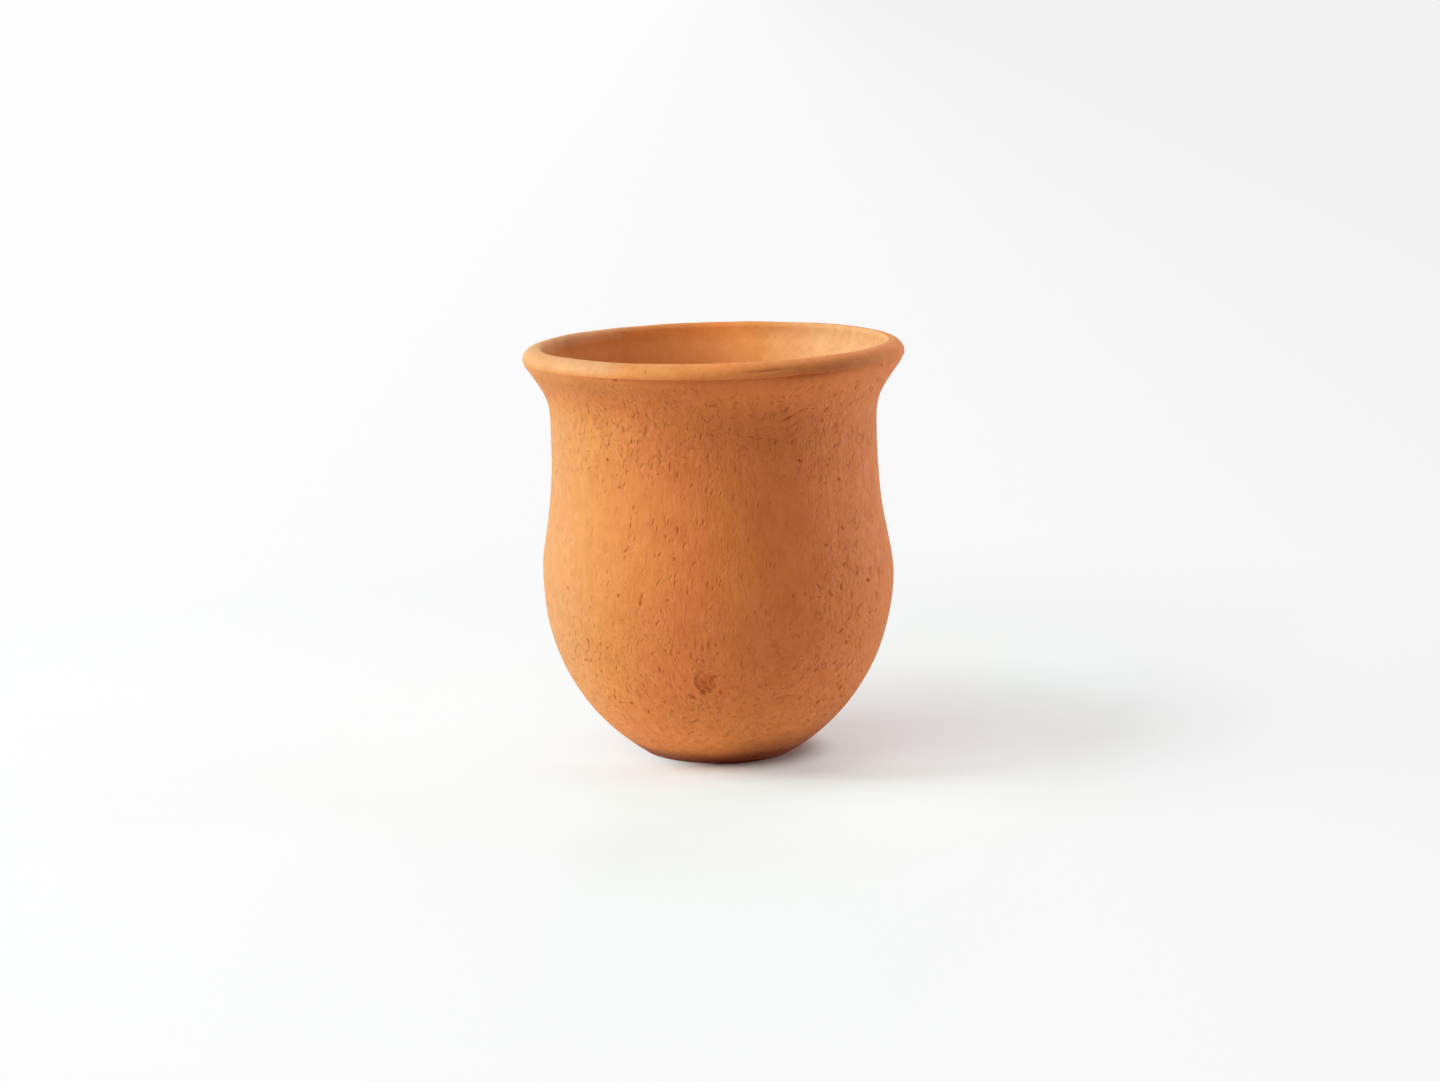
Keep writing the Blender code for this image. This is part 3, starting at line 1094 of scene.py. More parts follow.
    def build(self) -> bpy.types.Material:
        """Make the clay's material.

        Returns:
            The material.
        """
        material = bpy.data.materials.new("fired_clay")
        material.use_nodes = True
        sheet = NodeSheet(material.node_tree)
        place = sheet.add("ShaderNodeTexCoord", {}).outputs["Object"]
        dashes = self.dashes(sheet, place)
        crinkle = sheet.noise(place, self.crinkle)
        rough = sheet.cloud(place, self.gloss, self.rough_least)
        shader = sheet.add(
            "ShaderNodeBsdfPrincipled",
            {
                "Base Color": self.colour(sheet, place, dashes, crinkle),
                "Roughness": rough,
                "Metallic": 0.0,
                "Specular IOR Level": self.specular,
                "Sheen Weight": self.sheen,
                "Sheen Roughness": self.sheen_roughness,
                "Sheen Tint": self.sheen_tint,
                "Normal": self.relief(sheet, place, dashes, crinkle),
            },
        )
        sheet.add("ShaderNodeOutputMaterial", {"Surface": shader.outputs[0]})
        material.diffuse_color = self.clay
        return material


@dataclass(frozen=True)
class Spots:
    """Points of the upright form and their columns, their heights over the rim, and 1 inside or 0 outside."""

    points: Array
    x: Array
    y: Array
    z: Array
    rim: Array
    inside: Array

    def choose(self, outside: Array, inside: Union[float, Array]) -> Array:
        """Return one number for each point outside the pot and another for each inside it."""
        return np.where(self.inside == Side.INSIDE.value, inside, outside)


@dataclass(frozen=True)
class ClaySkin:
    """How the clay's skin, and the light and shade painted on it, differ over the pot: steps and bells of X,
    Y, Z or the height over the rim.
    """

    # How dragged it is
    rough: float = 0.88
    rough_low: Ramp = Ramp(0.075, 0.015, 0.15)
    rough_lip: Ramp = Ramp(-0.010, -0.004, 0.7)
    rough_right: Ramp = Ramp(0.018, 0.038, 0.4)
    rough_inside: float = 0.15
    # How crinkled it is
    worn: float = 0.22
    worn_neck: Ramp = Ramp(0.088, 0.102, 0.46)
    worn_low: Ramp = Ramp(0.065, 0.015, 0.50)
    worn_right: Ramp = Ramp(0.012, 0.040, 0.58)
    worn_right_least: float = 0.35
    worn_right_low: Ramp = Ramp(0.085, 0.055, 0.65)
    worn_right_edge: Ramp = Ramp(0.040, 0.052, 0.5)
    worn_left: Ramp = Ramp(-0.015, -0.035, 0.12)
    worn_middle: Bell = Bell(-0.004, 0.012, 0.25)
    worn_middle_low: Bell = Bell(0.020, 0.014)
    worn_lip: Ramp = Ramp(-0.009, -0.005, 0.85)
    worn_inside: float = 0.05
    # Painted highlight: paler on the left, on the lip and inside, most inside on the right, where light
    # falls; paler also at the foot and the right edge
    pale_left: Ramp = Ramp(-0.006, -0.058, 0.80)
    pale_neck: Bell = Bell(0.119, 0.007, 0.50)
    pale_lip: Ramp = Ramp(-0.006, -0.002)
    pale_lip_least: float = 0.30
    pale_lip_middle: Ramp = Ramp(0.004, -0.016, 0.25)
    pale_lip_left: Ramp = Ramp(-0.024, -0.036, 0.45)
    pale_foot: Ramp = Ramp(0.034, 0.004, 0.30)
    pale_right: Ramp = Ramp(0.024, 0.044, 0.13)
    pale_inside: float = 0.30
    pale_inside_right: Ramp = Ramp(-0.002, 0.043, 0.70)
    # Painted light, besides the patches: above the foot, a little more on its left, and inside, more on the
    # right
    light_foot: float = 0.15
    light_foot_left: Ramp = Ramp(-0.005, -0.035, 0.05)
    light_foot_rise: Ramp = Ramp(0.047, 0.005)
    light_inside: float = 1.05
    light_inside_right: Ramp = Ramp(-0.010, 0.030, 0.05)
    # A band of painted light inside, under the rear rim
    rear_low: Ramp = Ramp(-0.0052, -0.0028)
    rear_top: Ramp = Ramp(-0.0012, -0.0002, 0.7)
    rear_left: Ramp = Ramp(-0.048, -0.036, 0.38)
    rear_right: Ramp = Ramp(0.024, -0.004)
    rear_back: Ramp = Ramp(0.0, 0.030)
    # Painted contact shade just above the line on which it stands, more on the right
    painted_foot_shade_ring: Ramp = Ramp(0.0058, 0.0010)
    painted_foot_shade_right: Ramp = Ramp(-0.002, 0.012, 0.64)
    painted_foot_shade_right_low: Ramp = Ramp(0.013, 0.0)
    painted_foot_shade_most: float = 1.15
    painted_foot_shade_dims: float = 0.76
    # How deep a mark is that shows the painted shade's full colour
    deep_mm: float = 0.68
    deep_right: Ramp = Ramp(0.010, 0.040, 0.5)
    deep_lip: Ramp = Ramp(-0.010, -0.006, 0.5)

    def coarseness(self, spots: Spots) -> Array:
        """Return how dragged the clay is: more low down, less on the lip, on the right and inside.

        Args:
            spots: Points of the clay.

        Returns:
            Roughness about 1, for each point.
        """
        outside = self.rough + self.rough_low.at(spots.z)
        outside *= 1.0 - self.rough_lip.at(spots.rim)
        outside *= 1.0 - self.rough_right.at(spots.x)
        return spots.choose(outside, self.rough_inside)

    def wear(self, spots: Spots) -> Array:
        """Return how crinkled the clay is: most low down, in the neck and on the right, least on the lip.

        Args:
            spots: Points of the clay.

        Returns:
            Shares from 0 to about 1, for each point.
        """
        low = self.worn_low.at(spots.z)
        right = self.worn_right.at(spots.x) * (self.worn_right_least + self.worn_right_low.at(spots.z))
        right *= 1.0 - self.worn_right_edge.at(spots.x)
        outside = self.worn + self.worn_neck.at(spots.z) + low + right
        outside += self.worn_left.at(spots.x) * low
        outside += self.worn_middle.at(spots.x) * self.worn_middle_low.at(spots.z)
        return spots.choose(outside * (1.0 - self.worn_lip.at(spots.rim)), self.worn_inside)

    def painted_highlight(self, spots: Spots) -> Array:
        """Return the painted highlight: paler on the left, the lip and inside, most inside on the right, and
        paler also at the foot and the right edge.

        Args:
            spots: Points of the clay.

        Returns:
            Shares from 0 to 1, for each point.
        """
        left = self.pale_left.at(spots.x) * (1.0 - self.pale_neck.at(spots.z))
        lip = self.pale_lip_least + self.pale_lip_middle.at(spots.x) + self.pale_lip_left.at(spots.x)
        lip *= self.pale_lip.at(spots.rim)
        foot = self.pale_foot.at(spots.z)
        right = self.pale_right.at(spots.x)
        within = self.pale_inside + self.pale_inside_right.at(spots.x)
        return spots.choose(np.maximum.reduce((left, lip, foot, right)), np.maximum(within, lip))

    def painted_light_shade(self, spots: Spots) -> Array:
        """Return the painted light and shade: its patches, painted light above the foot, the painted contact
        shade, and painted light inside.

        Inside, a band of painted light lies under the rear rim.

        Args:
            spots: Points of the clay.

        Returns:
            Factors of the clay's colour, for each point.
        """
        foot = (self.light_foot + self.light_foot_left.at(spots.x)) * self.light_foot_rise.at(spots.z)
        outside = 1.0 + sum(patch.share(spots.points) for patch in PAINTED_LIGHT_AND_SHADE)
        # The painted contact shade darkens the clay just above where it stands
        outside += foot - self.painted_foot_shade_dims * self.painted_foot_shade(spots)
        rear = self.rear_low.at(spots.rim) * (1.0 - self.rear_top.at(spots.rim))
        rear *= self.rear_left.at(spots.x) * self.rear_right.at(spots.x) * self.rear_back.at(spots.y)
        return spots.choose(outside, self.light_inside + self.light_inside_right.at(spots.x) + rear)

    def painted_foot_shade(self, spots: Spots) -> Array:
        """Return the painted contact shade just above the line on which the pot stands, more so on the right.

        Args:
            spots: Points of the clay.

        Returns:
            Shares from 0 to about 1, for each point.
        """
        right = self.painted_foot_shade_right.at(spots.x) * self.painted_foot_shade_right_low.at(spots.z)
        return np.minimum(self.painted_foot_shade_ring.at(spots.z) + right, self.painted_foot_shade_most)

    def hollow(self, spots: Spots, sunk: Array) -> Array:
        """Return the share of the painted dark red shade: in marks, at the gouge and in the painted contact
        shade at the foot.

        Args:
            spots: Points of the clay.
            sunk: Displacements by marks and folds, negative into the clay.

        Returns:
            Shares from 0 to about 1, for each point.
        """
        # Painted shade in the marks' hollows, more on the right and less on the lip
        deep = np.clip(-sunk / (self.deep_mm * MM), 0.0, 1.0)
        deep *= 1.0 + self.deep_right.at(spots.x)
        deep *= 1.0 - self.deep_lip.at(spots.rim)
        return deep + spots.choose(PAINTED_GOUGE_SHADE.share(spots.points) + self.painted_foot_shade(spots), 0.0)

    def numbers(self, spots: Spots, sunk: Array) -> dict[str, Array]:
        """Return the numbers that the finish reads from the mesh.

        Args:
            spots: Points of the clay.
            sunk: Displacements by marks and folds, negative into the clay.

        Returns:
            Numbers for each point, by the name of their attribute.
        """
        return {
            "hollow": self.hollow(spots, sunk),
            "coarse": self.coarseness(spots),
            "worn": self.wear(spots),
            "pale": self.painted_highlight(spots),
            "painted_light_shade": self.painted_light_shade(spots),
        }


@dataclass(frozen=True)
class Lattice:
    """The grid of rows and turns, and the part of it that the mesh uses."""

    used: Flags
    corners: Numbers
    sizes: Numbers
    corner_rows: Numbers
    corner_turns: Numbers


@dataclass
class PotBody:
    """The pot's one clay body: the settled outline, carried round the axis, with the marks of its making."""

    profile: ClayProfile = field(default_factory=ClayProfile)
    camera: ViewCamera = field(default_factory=ViewCamera)
    finish: TerracottaFinish = field(default_factory=TerracottaFinish)
    skin: ClaySkin = field(default_factory=ClaySkin)
    strays: StrayMarks = field(default_factory=StrayMarks)
    columns: int = 264
    splits: int = 4
    refine_mm: float = 0.0276
    # Seating of the seen marks: where the search along a ray starts, and how often it is halved
    search_start: float = 0.5
    search_steps: int = 40
    # Pressing of the marks: their share of depth, how far round them it reaches, and their burr
    press_share: float = 0.92
    press_reach: float = 0.8
    burr: Bell = Bell(1.2, 0.22, 0.16)
    lip_depth: float = 0.012
    # Unevenness of the hand, fading out at the foot
    ripple_mm: float = 0.05
    ripple_waves: int = 28
    ripple_shortest: float = 0.009
    ripple_longest: float = 0.030
    ripple_foot: Ramp = Ramp(0.0, 0.004)
    # Throwing rings, fading out at the floor and at the rim
    ring_mm: float = 0.12
    ring_pitch: float = 0.0065
    ring_floor: Ramp = Ramp(0.010, 0.020)
    ring_rim: Ramp = Ramp(-0.004, -0.014)
    seed: int = 5
    # The map of the surface: the scale of the inside, and a free margin
    map_inside: float = 0.6
    map_margin: float = 0.004

    def seat(self, outline: Outline) -> tuple[Array, Array]:
        """Find where the camera's rays through the seen marks meet the wall.

        Each ray is halved again and again between the camera and its point nearest the axis, keeping the half
        in which it passes from outside the wall to inside.

        Args:
            outline: The pot's outline, cut into rows.

        Returns:
            Turn in degrees and row of each mark.
        """
        pixels = np.array([(mark.column, mark.row) for mark in SEEN_MARKS])
        rays = self.camera.rays(pixels)
        start = self.camera.place
        outside = outline.inside == Side.OUTSIDE.value
        height = outline.height[outside][::-1]
        radius = outline.radius[outside][::-1]
        near = np.full(len(pixels), self.search_start)
        far = -start[1] / rays[:, 1]
        for _ in range(self.search_steps):
            middle = (near + far) / 2
            x, y, z = (start + rays * middle[:, None]).T
            level = z - self.profile.tip(x, z)
            aside = x - self.profile.lean(z)
            beyond = np.hypot(aside, y) > np.interp(level, height, radius)
            near = np.where(beyond, middle, near)
            far = np.where(beyond, far, middle)
        turns = np.degrees(np.arctan2(aside, -y))
        rows = np.interp(level, height, np.flatnonzero(outside)[::-1])
        return turns, rows

    def pressed(self, outline: Outline) -> tuple[Array, Array]:
        """Press the marks and the lip's folds into the clay.

        A mark is an ellipse whose depth falls from its middle as a power of 1 - p^2 - q^2, where p and q are
        the shares of its half width and half length, with a low burr round it.

        Args:
            outline: The pot's outline, cut into fine rows.

        Returns:
            Displacements for each fine row and column, negative into the clay: by folds, and by marks.
        """
        count = self.columns * self.splits
        folds = np.zeros((outline.radius.size, count))
        marks = np.zeros_like(folds)
        turns = np.arange(count) * 360.0 / count
        lip = slice(0, int(np.searchsorted(-outline.height, self.lip_depth - self.profile.height)))
        heights = (outline.height[lip][::-1], outline.along[lip][::-1])
        for fold in LIP_FOLDS:
            folds[lip] += fold.press(outline.along[lip][:, None], heights, turns, self.profile.height)
        seen_turns, seen_rows = self.seat(outline)
        stray_turns, stray_rows, strays = self.strays.scatter(outline, self.profile.height)
        places = zip(np.append(seen_turns, stray_turns), np.append(seen_rows, stray_rows))
        for mark, (turn, row) in zip(list(SEEN_MARKS) + strays, places):
            self.press(marks, outline, mark, turn, row)
        return folds, marks

    def press(self, depth: Array, outline: Outline, mark: Mark, turn: float, row: float) -> None:
        """Press one mark into the displacements near it.

        Args:
            depth: Displacements for each fine row and column, changed in place.
            outline: The pot's outline, cut into fine rows.
            mark: The mark.
            turn: Its turn in degrees.
            row: Its fine row.
        """
        count = depth.shape[1]
        centre = np.interp(row, np.arange(outline.along.size), outline.along)
        radius = np.interp(row, np.arange(outline.along.size), outline.radius)
        reach = self.press_reach * max(mark.width_mm, mark.length_mm) * MM
        first, last = np.searchsorted(outline.along, (centre - reach, centre + reach))
        half = int(math.ceil(reach / radius / FULL_TURN * count))
        middle = int(round(turn / 360.0 * count))
        wide = np.arange(middle - half, middle + half + 1)
        across = np.radians(wide * 360.0 / count - turn) * radius
        up = centre - outline.along[first:last, None]
        lean = math.radians(mark.slant)
        p = (across * math.cos(lean) - up * math.sin(lean)) / (mark.width_mm * MM / 2)
        q = (across * math.sin(lean) + up * math.cos(lean)) / (mark.length_mm * MM / 2)
        inside = np.clip(1.0 - p * p - q * q, 0.0, None) ** mark.cup.value
        raised = self.burr.at(np.hypot(p, q))
        depth[first:last, wide % count] += self.press_share * mark.depth_mm * MM * (raised - inside)

    def lattice(self, marked: Flags) -> Lattice:
        """Join the grid into faces: one per plain cell, many in a marked cell, and a fan where the two meet.

        The grid closes on itself both ways. A plain cell with points of a finer neighbour on its edges gets a
        point in its middle and a triangle to each step of its rim, so that no gap opens.

        Args:
            marked: The cells to be cut finer, for each row and column.

        Returns:
            The points that are used and the faces' corners.
        """
        k = self.splits
        fine = np.repeat(np.repeat(marked, k, axis=0), k, axis=1)
        used = fine | np.roll(fine, 1, 0) | np.roll(fine, 1, 1) | np.roll(np.roll(fine, 1, 0), 1, 1)
        used[::k, ::k] = True
        tall, round_ = used.shape
        row, turn = np.nonzero(fine)
        quads = [np.stack((row, row + 1, row + 1, row), 1), np.stack((turn, turn, turn + 1, turn + 1), 1)]
        row, turn = (k * place for place in np.nonzero(~marked))
        step = np.arange(k)
        rim_rows = np.concatenate((step, np.full(k, k), k - step, np.zeros(k, int)))
        rim_turns = np.concatenate((np.zeros(k, int), step, np.full(k, k), k - step))
        rows = row[:, None] + rim_rows
        turns = turn[:, None] + rim_turns
        there = used[rows % tall, turns % round_]
        plain = there.sum(1) == 4
        used[row[~plain] + k // 2, turn[~plain] + k // 2] = True
        quads = [
            np.vstack((quads[0], rows[plain][:, ::k])),
            np.vstack((quads[1], turns[plain][:, ::k])),
        ]
        rims = there[~plain]
        ends = np.cumsum(rims.sum(1))
        following = np.arange(1, ends[-1] + 1)
        following[ends - 1] = np.concatenate(([0], ends[:-1]))
        fans = []
        for places, start in ((rows, row), (turns, turn)):
            rim = places[~plain][rims]
            middle = np.repeat(start[~plain] + k // 2, rims.sum(1))
            fans.append(np.stack((rim, rim[following], middle), 1))
        corner_rows = np.concatenate((quads[0].ravel(), fans[0].ravel()))
        corner_turns = np.concatenate((quads[1].ravel(), fans[1].ravel()))
        number = np.cumsum(used).reshape(used.shape) - 1
        corners = number[corner_rows % tall, corner_turns % round_]
        sizes = np.concatenate((np.full(len(quads[0]), 4), np.full(len(fans[0]), 3)))
        return Lattice(used, corners, sizes, corner_rows, corner_turns)

    def ripples(self, spots: Spots) -> Array:
        """Return the slow unevenness of hand-thrown clay: a sum of plane waves with seeded directions.

        Inside, throwing rings are added: a sine of the height that climbs one pitch in each turn.

        Args:
            spots: Points of the clay.

        Returns:
            Displacements along the surface's normal.
        """
        rng = np.random.default_rng(self.seed)
        swell = np.zeros(len(spots.points))
        for wavelength in rng.uniform(self.ripple_shortest, self.ripple_longest, self.ripple_waves):
            heading = rng.normal(size=3)
            heading *= FULL_TURN / wavelength / np.linalg.norm(heading)
            wave = np.cos(spots.points @ heading + rng.uniform(0.0, FULL_TURN))
            swell += wavelength / self.ripple_longest * wave
        swell *= self.ripple_mm * MM / swell.std() * self.ripple_foot.at(spots.z)
        turn = np.arctan2(spots.x, -spots.y)
        ring = np.sin(spots.z / self.ring_pitch * FULL_TURN + turn) * self.ring_mm * MM
        ring *= self.ring_floor.at(spots.z) * self.ring_rim.at(spots.rim)
        return swell + ring * spots.inside

    def mesh(self) -> bpy.types.Mesh:
        """Work out the clay's surface on its grid and put it into a mesh.

        A point is the outline's radius and height, moved along the outline's normal by the marks and ripples,
        turned about Z and settled.

        Returns:
            The mesh, with its unrolled map and the numbers that its finish reads.
        """
        outline = self.profile.outline(self.splits)
        folds, marks = self.pressed(outline)
        k = self.splits
        edges = np.abs(np.diff(marks, axis=1, append=marks[:, :1]))
        edges += np.abs(np.diff(marks, axis=0, append=marks[:1]))
        blocks = edges.reshape(len(marks) // k, k, self.columns, k).max((1, 3))
        grid = self.lattice(blocks > self.refine_mm * MM)
        row, turn = np.nonzero(grid.used)
        angle = turn * FULL_TURN / marks.shape[1]
        heading = np.column_stack((np.sin(angle), -np.cos(angle)))
        sunk = (folds + marks)[row, turn]
        flat = np.column_stack((outline.radius[row, None] * heading, outline.height[row]))
        spots = Spots(flat, *flat.T, flat[:, 2] - self.profile.height, outline.inside[row])
        move = sunk + self.ripples(spots)
        out = move * outline.face_out[row]
        points = flat + np.column_stack((out[:, None] * heading, move * outline.face_up[row]))
        mesh = bpy.data.meshes.new("pot")
        mesh.vertices.add(len(points))
        mesh.vertices.foreach_set("co", self.profile.settle(points).ravel())
        mesh.loops.add(len(grid.corners))
        mesh.loops.foreach_set("vertex_index", grid.corners.astype(np.int32))
        mesh.polygons.add(len(grid.sizes))
        starts = np.cumsum(grid.sizes) - grid.sizes
        mesh.polygons.foreach_set("loop_start", starts.astype(np.int32))
        mesh.update(calc_edges=True)
        mesh.shade_smooth()
        self.unroll(mesh, outline, grid)
        for name, values in self.skin.numbers(spots, sunk).items():
            layer = mesh.attributes.new(name, "FLOAT", "POINT")
            layer.data.foreach_set("value", values.astype(np.float32))
        return mesh

    def unroll(self, mesh: bpy.types.Mesh, outline: Outline, grid: Lattice) -> None:
        """Give the mesh a map: turns run across it and the outline runs up it, the inside at a smaller scale.

        Args:
            mesh: The pot's mesh.
            outline: The pot's outline, cut into fine rows.
            grid: The grid that the mesh's corners lie on.
        """
        scale = np.where(outline.inside == Side.INSIDE.value, self.map_inside, 1.0)
        steps = np.diff(np.append(outline.along, outline.length)) * scale
        climb = np.concatenate(([0.0], np.cumsum(steps)))
        margin = self.map_margin
        u = grid.corner_turns / (self.columns * self.splits)
        v = 1.0 - climb[grid.corner_rows] / climb[-1]
        layer = mesh.uv_layers.new(name="OFBake")
        unrolled = margin + (1.0 - 2.0 * margin) * np.column_stack((u, v))
        layer.data.foreach_set("uv", unrolled.ravel().astype(np.float32))

    def build(self) -> bpy.types.Object:
        """Make the pot in place of its plain solid, and dress it.

        Returns:
            The pot's object.
        """
        mesh = self.mesh()
        mesh.materials.append(self.finish.build())
        pot = put("pot", mesh)
        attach(pot, "root")
        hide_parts("pot_body")
        return pot


@dataclass(frozen=True)
class StudioFloor:
    """A plain pale floor that fades into the white round it."""

    reach: float = 16.0
    hole: float = 1.0e-4
    rings: int = 40
    spokes: int = 96
    shade: Colour = (0.93, 0.89, 0.90, 1.0)
    shadow_shade: Colour = (0.91, 0.925, 0.925, 1.0)
    near_shade: Colour = (0.905, 0.925, 0.945, 1.0)
    contact_shade: Colour = (0.93, 0.90, 0.87, 1.0)
    # The plain white: its level under the pot, how it dims to the right, and its limits
    white: float = 0.957
    dim_right: float = 0.11
    white_least: float = 0.89
    white_most: float = 0.982
    fade: Ramp = Ramp(0.10, 0.42)
    # Tints painted on the paper against the clay's orange reflected light: cooler near the pot and in the
    # shadow, warmer round the foot; the shadow slants to the right and back
    contact_ring: Ramp = Ramp(0.028, 0.045)
    near_ring: Ramp = Ramp(0.05, 0.13)
    shadow_slant: float = 0.30
    shadow_start: Ramp = Ramp(0.05, 0.08)
    shadow_end: Ramp = Ramp(0.14, 0.24, 0.0)
    shadow_front: Ramp = Ramp(-0.07, -0.03)
    # How far the shadow is lightened, from the left to the middle and along its slant
    lift_left: float = 0.85
    lift_middle: Ramp = Ramp(-0.05, 0.02, 0.50)
    lift_right: Ramp = Ramp(0.03, 0.20, 0.90)
    # Where it is lightened: not in front of the foot, less behind the pot, and clear of the foot
    open_front: Ramp = Ramp(-0.052, -0.016)
    open_back: Ramp = Ramp(0.05, 0.10, 0.4)
    open_right: Ramp = Ramp(0.04, 0.12)
    open_left_share: float = 0.8
    open_left: Ramp = Ramp(-0.050, -0.020, 0.0)
    clear_ring: Ramp = Ramp(0.024, 0.042)
    clear_left: Ramp = Ramp(-0.022, 0.004, 0.0)

    def build(self) -> bpy.types.Object:
        """Make the floor as a disc: rings that widen as the square of their number, round the pot's axis.

        Returns:
            The floor's object.
        """
        ring, spoke = np.meshgrid(np.arange(self.rings + 1), np.arange(self.spokes), indexing="ij")
        radius = self.reach * (ring / self.rings) ** 2 + self.hole
        angle = spoke * FULL_TURN / self.spokes
        points = np.stack((radius * np.cos(angle), radius * np.sin(angle), np.zeros_like(radius)), -1)
        first = (ring[:-1] * self.spokes + spoke[:-1]).ravel()
        beside = (ring[:-1] * self.spokes + (spoke[:-1] + 1) % self.spokes).ravel()
        faces = np.stack((first, first + self.spokes, beside + self.spokes, beside), 1)
        mesh = bpy.data.meshes.new("studio_floor")
        mesh.from_pydata(points.reshape(-1, 3), [], faces)
        mesh.materials.append(self.paper())
        floor = put("studio_floor", mesh)
        return floor

    def lightened(
        self, sheet: NodeSheet, across: Socket, behind: Socket, away: Socket, slanted: Socket
    ) -> Socket:
        """Work out how far plain white lightens the shadow round the pot.

        It does so beside the pot and at the left of the foot's front, but not right in front of the foot, and
        less behind the pot.

        Args:
            sheet: The floor's nodes.
            across: Distance to the right.
            behind: Distance to the back.
            away: Distance from the pot's axis.
            slanted: Distance along the shadow.

        Returns:
            Shares from 0 to 1.
        """
        beside = sheet.math(
            "MAXIMUM",
            sheet.span(across, self.lift_middle, self.lift_left),
            sheet.span(slanted, self.lift_right),
        )
        between = sheet.math(
            "MULTIPLY", sheet.span(behind, self.open_front), sheet.span(behind, self.open_back, 1.0)
        )
        opened = sheet.chain(
            "MAXIMUM",
            between,
            sheet.span(slanted, self.open_right),
            sheet.span(across, self.open_left, self.open_left_share),
        )
        clear = sheet.math(
            "MAXIMUM", sheet.span(away, self.clear_ring), sheet.span(across, self.clear_left, 1.0)
        )
        return sheet.chain("MULTIPLY", beside, opened, clear)

    def paper(self) -> bpy.types.Material:
        """Make the matte paper, which the camera sees as plain white away from the pot.

        The share of plain white grows with the distance from the pot, and it lightens the shadow beside it.
        The white dims towards the right. The paper's tint is painted warmer at the foot and cooler near the
        pot and in the shadow, against the clay's orange reflected light.

        Returns:
            The material.
        """
        material = bpy.data.materials.new("floor_paper")
        material.use_nodes = True
        sheet = NodeSheet(material.node_tree)
        place = sheet.add("ShaderNodeTexCoord", {}).outputs["Object"]
        across, behind, _ = sheet.add("ShaderNodeSeparateXYZ", {0: place}).outputs
        away = sheet.add("ShaderNodeVectorMath", {0: place}, operation="LENGTH").outputs["Value"]
        slanted = sheet.math("MULTIPLY_ADD", behind, -self.shadow_slant, across)
        level = sheet.math("MULTIPLY_ADD", across, -self.dim_right, self.white)
        level = sheet.math("MINIMUM", sheet.math("MAXIMUM", level, self.white_least), self.white_most)
        glow = sheet.add("ShaderNodeEmission", {"Color": WHITE, "Strength": level})
        tint = sheet.blend(sheet.span(away, self.near_ring), self.near_shade, self.shade)
        tint = sheet.blend(sheet.span(away, self.contact_ring), self.contact_shade, tint)
        shaded = sheet.chain(
            "MULTIPLY",
            sheet.span(slanted, self.shadow_start),
            sheet.span(away, self.shadow_end, 1.0),
            sheet.span(behind, self.shadow_front),
        )
        paper = sheet.add("ShaderNodeBsdfDiffuse", {"Color": sheet.blend(shaded, tint, self.shadow_shade)})
        near = self.lightened(sheet, across, behind, away, slanted)
        white = sheet.math("MAXIMUM", sheet.span(away, self.fade), near)
        share = sheet.math("MULTIPLY", white, seen_directly(sheet))
        mixed = sheet.add("ShaderNodeMixShader", {0: share, 1: paper.outputs[0], 2: glow.outputs[0]})
        sheet.add("ShaderNodeOutputMaterial", {"Surface": mixed.outputs[0]})
        return material


def seen_directly(sheet: NodeSheet) -> Socket:
    """Return 1 for rays that show the background: from the camera, a reflection or glass.

    Args:
        sheet: The nodes of a material or world.

    Returns:
        The number.
    """
    path = sheet.add("ShaderNodeLightPath", {}).outputs
    shown = sheet.math("MAXIMUM", path["Is Camera Ray"], path["Is Glossy Ray"])
    return sheet.math("MAXIMUM", shown, path["Is Transmission Ray"])


@dataclass(frozen=True)
class SoftBox:
    """A round soft light that faces the pot."""

    name: str
    turn: float
    elevation: float
    size: float
    power: float
    tint: Triple = WHITE[:3]
    distance: float = 2.6

    def build(self, aim: Vector) -> bpy.types.Object:
        """Make the light.

        Args:
            aim: The point that it faces.

        Returns:
            The light's object.
        """
        data = bpy.data.lights.new(self.name, "AREA")
        data.shape = "DISK"
        data.size = self.size
        data.energy = self.power
        data.color = self.tint
        turn, rise = math.radians(self.turn), math.radians(self.elevation)
        away = Vector((math.sin(turn) * math.cos(rise), -math.cos(turn) * math.cos(rise), math.sin(rise)))
        lamp = put(self.name, data)
        lamp.location = aim + away * self.distance
        lamp.rotation_euler = away.to_track_quat("Z", "Y").to_euler()
        lamp.visible_camera = False
        return lamp


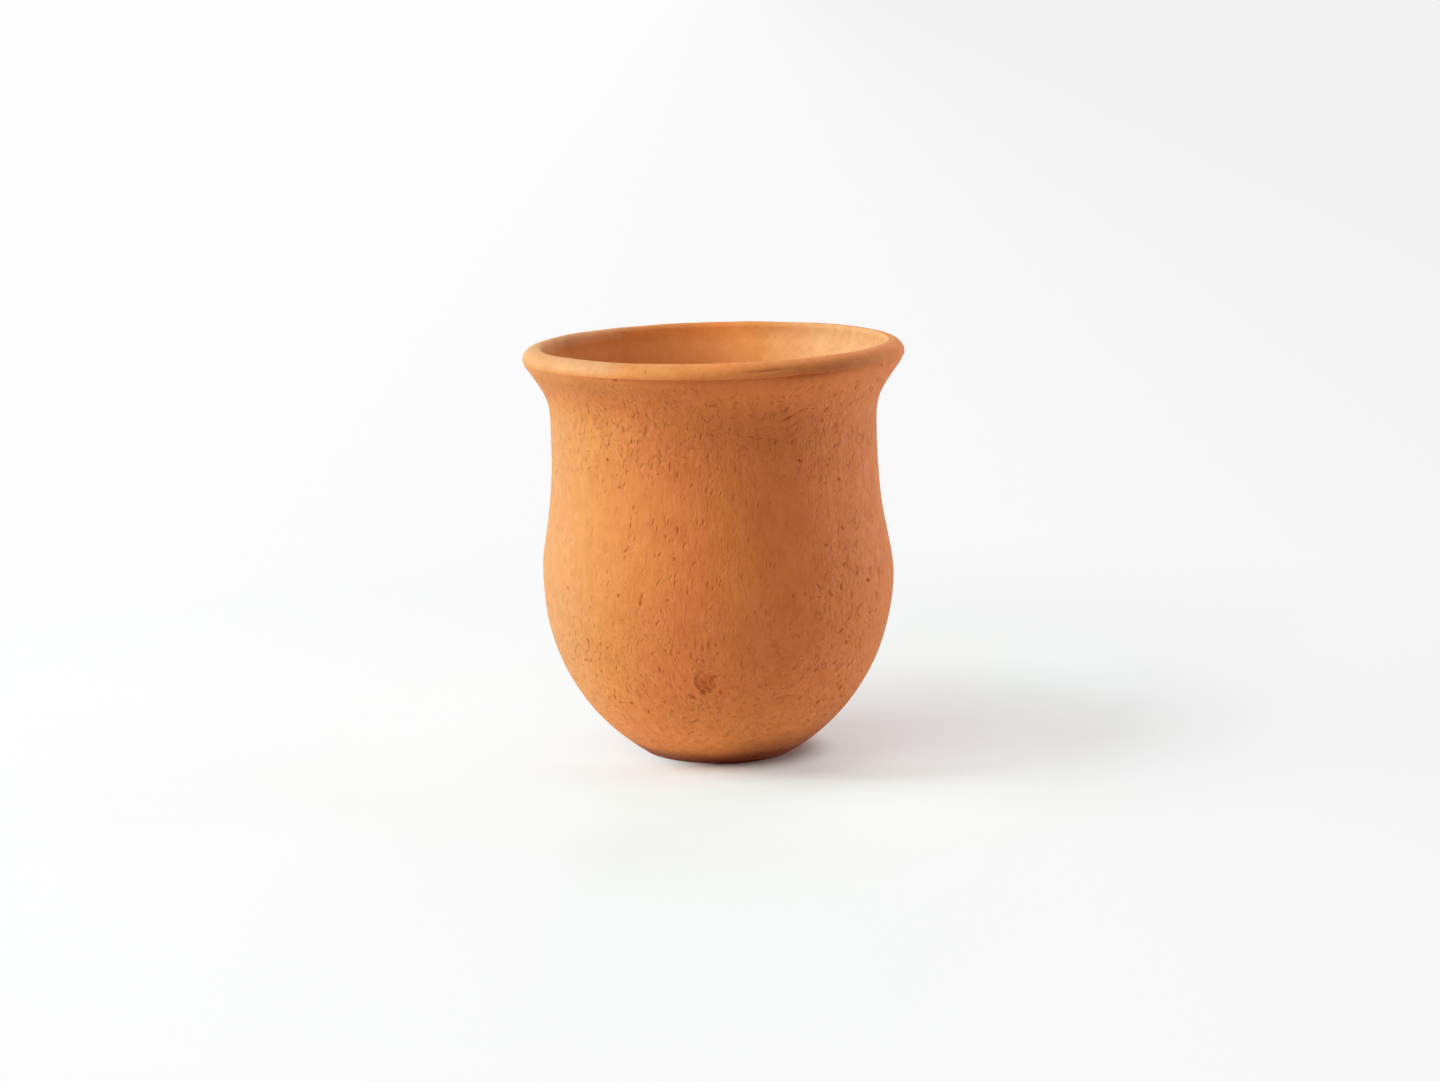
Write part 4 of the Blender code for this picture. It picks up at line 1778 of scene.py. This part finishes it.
@dataclass(frozen=True)
class Studio:
    """The floor, the soft lights and the pale surroundings."""

    floor: StudioFloor = StudioFloor()
    boxes: tuple[SoftBox, ...] = (
        SoftBox("left_back", -92.0, 32.0, 1.6, 24.0, (0.90, 1.09, 1.03)),
        SoftBox("left", -75.0, 22.0, 1.6, 40.0, (0.90, 1.09, 1.03)),
        SoftBox("upper_left", -50.0, 55.0, 1.6, 15.0, (0.95, 1.04, 1.01)),
        SoftBox("upper_front", -10.0, 62.0, 1.6, 10.0),
        SoftBox("overhead", 0.0, 89.0, 1.6, 15.0),
        SoftBox("right_low", 110.0, 4.0, 0.35, 24.0, (1.01, 1.0, 0.97)),
        SoftBox("right", 112.0, 10.0, 0.8, 9.5, (1.01, 1.0, 0.97)),
        SoftBox("back", 160.0, 45.0, 1.6, 10.0),
    )
    aim: Triple = (0.0, 0.0, 0.06)
    fill: float = 0.01

    def build(self) -> None:
        """Make the floor, the lights and the world."""
        self.floor.build()
        for box in self.boxes:
            box.build(Vector(self.aim))
        world = bpy.data.worlds.new("studio")
        world.use_nodes = True
        sheet = NodeSheet(world.node_tree)
        fill = sheet.add("ShaderNodeBackground", {"Color": WHITE, "Strength": self.fill})
        white = sheet.add("ShaderNodeBackground", {"Color": WHITE, "Strength": self.floor.white})
        shown = seen_directly(sheet)
        mixed = sheet.add("ShaderNodeMixShader", {0: shown, 1: fill.outputs[0], 2: white.outputs[0]})
        sheet.add("ShaderNodeOutputWorld", {"Surface": mixed.outputs[0]})
        bpy.context.scene.world = world


def main() -> None:
    """Build the camera, the pot and the studio in order."""
    logging.basicConfig(level=logging.INFO, format="%(name)s: %(message)s")
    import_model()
    bpy.context.scene.view_settings.view_transform = "Standard"
    camera = ViewCamera()
    camera.build()
    LOG.info("camera at %s", np.round(camera.place, 4))
    pot = PotBody(camera=camera).build()
    LOG.info("%s: %d points, %d faces", pot.name, len(pot.data.vertices), len(pot.data.polygons))
    Studio().build()
    LOG.info("studio floor, lights and surroundings")


if __name__ == "__main__":
    main()
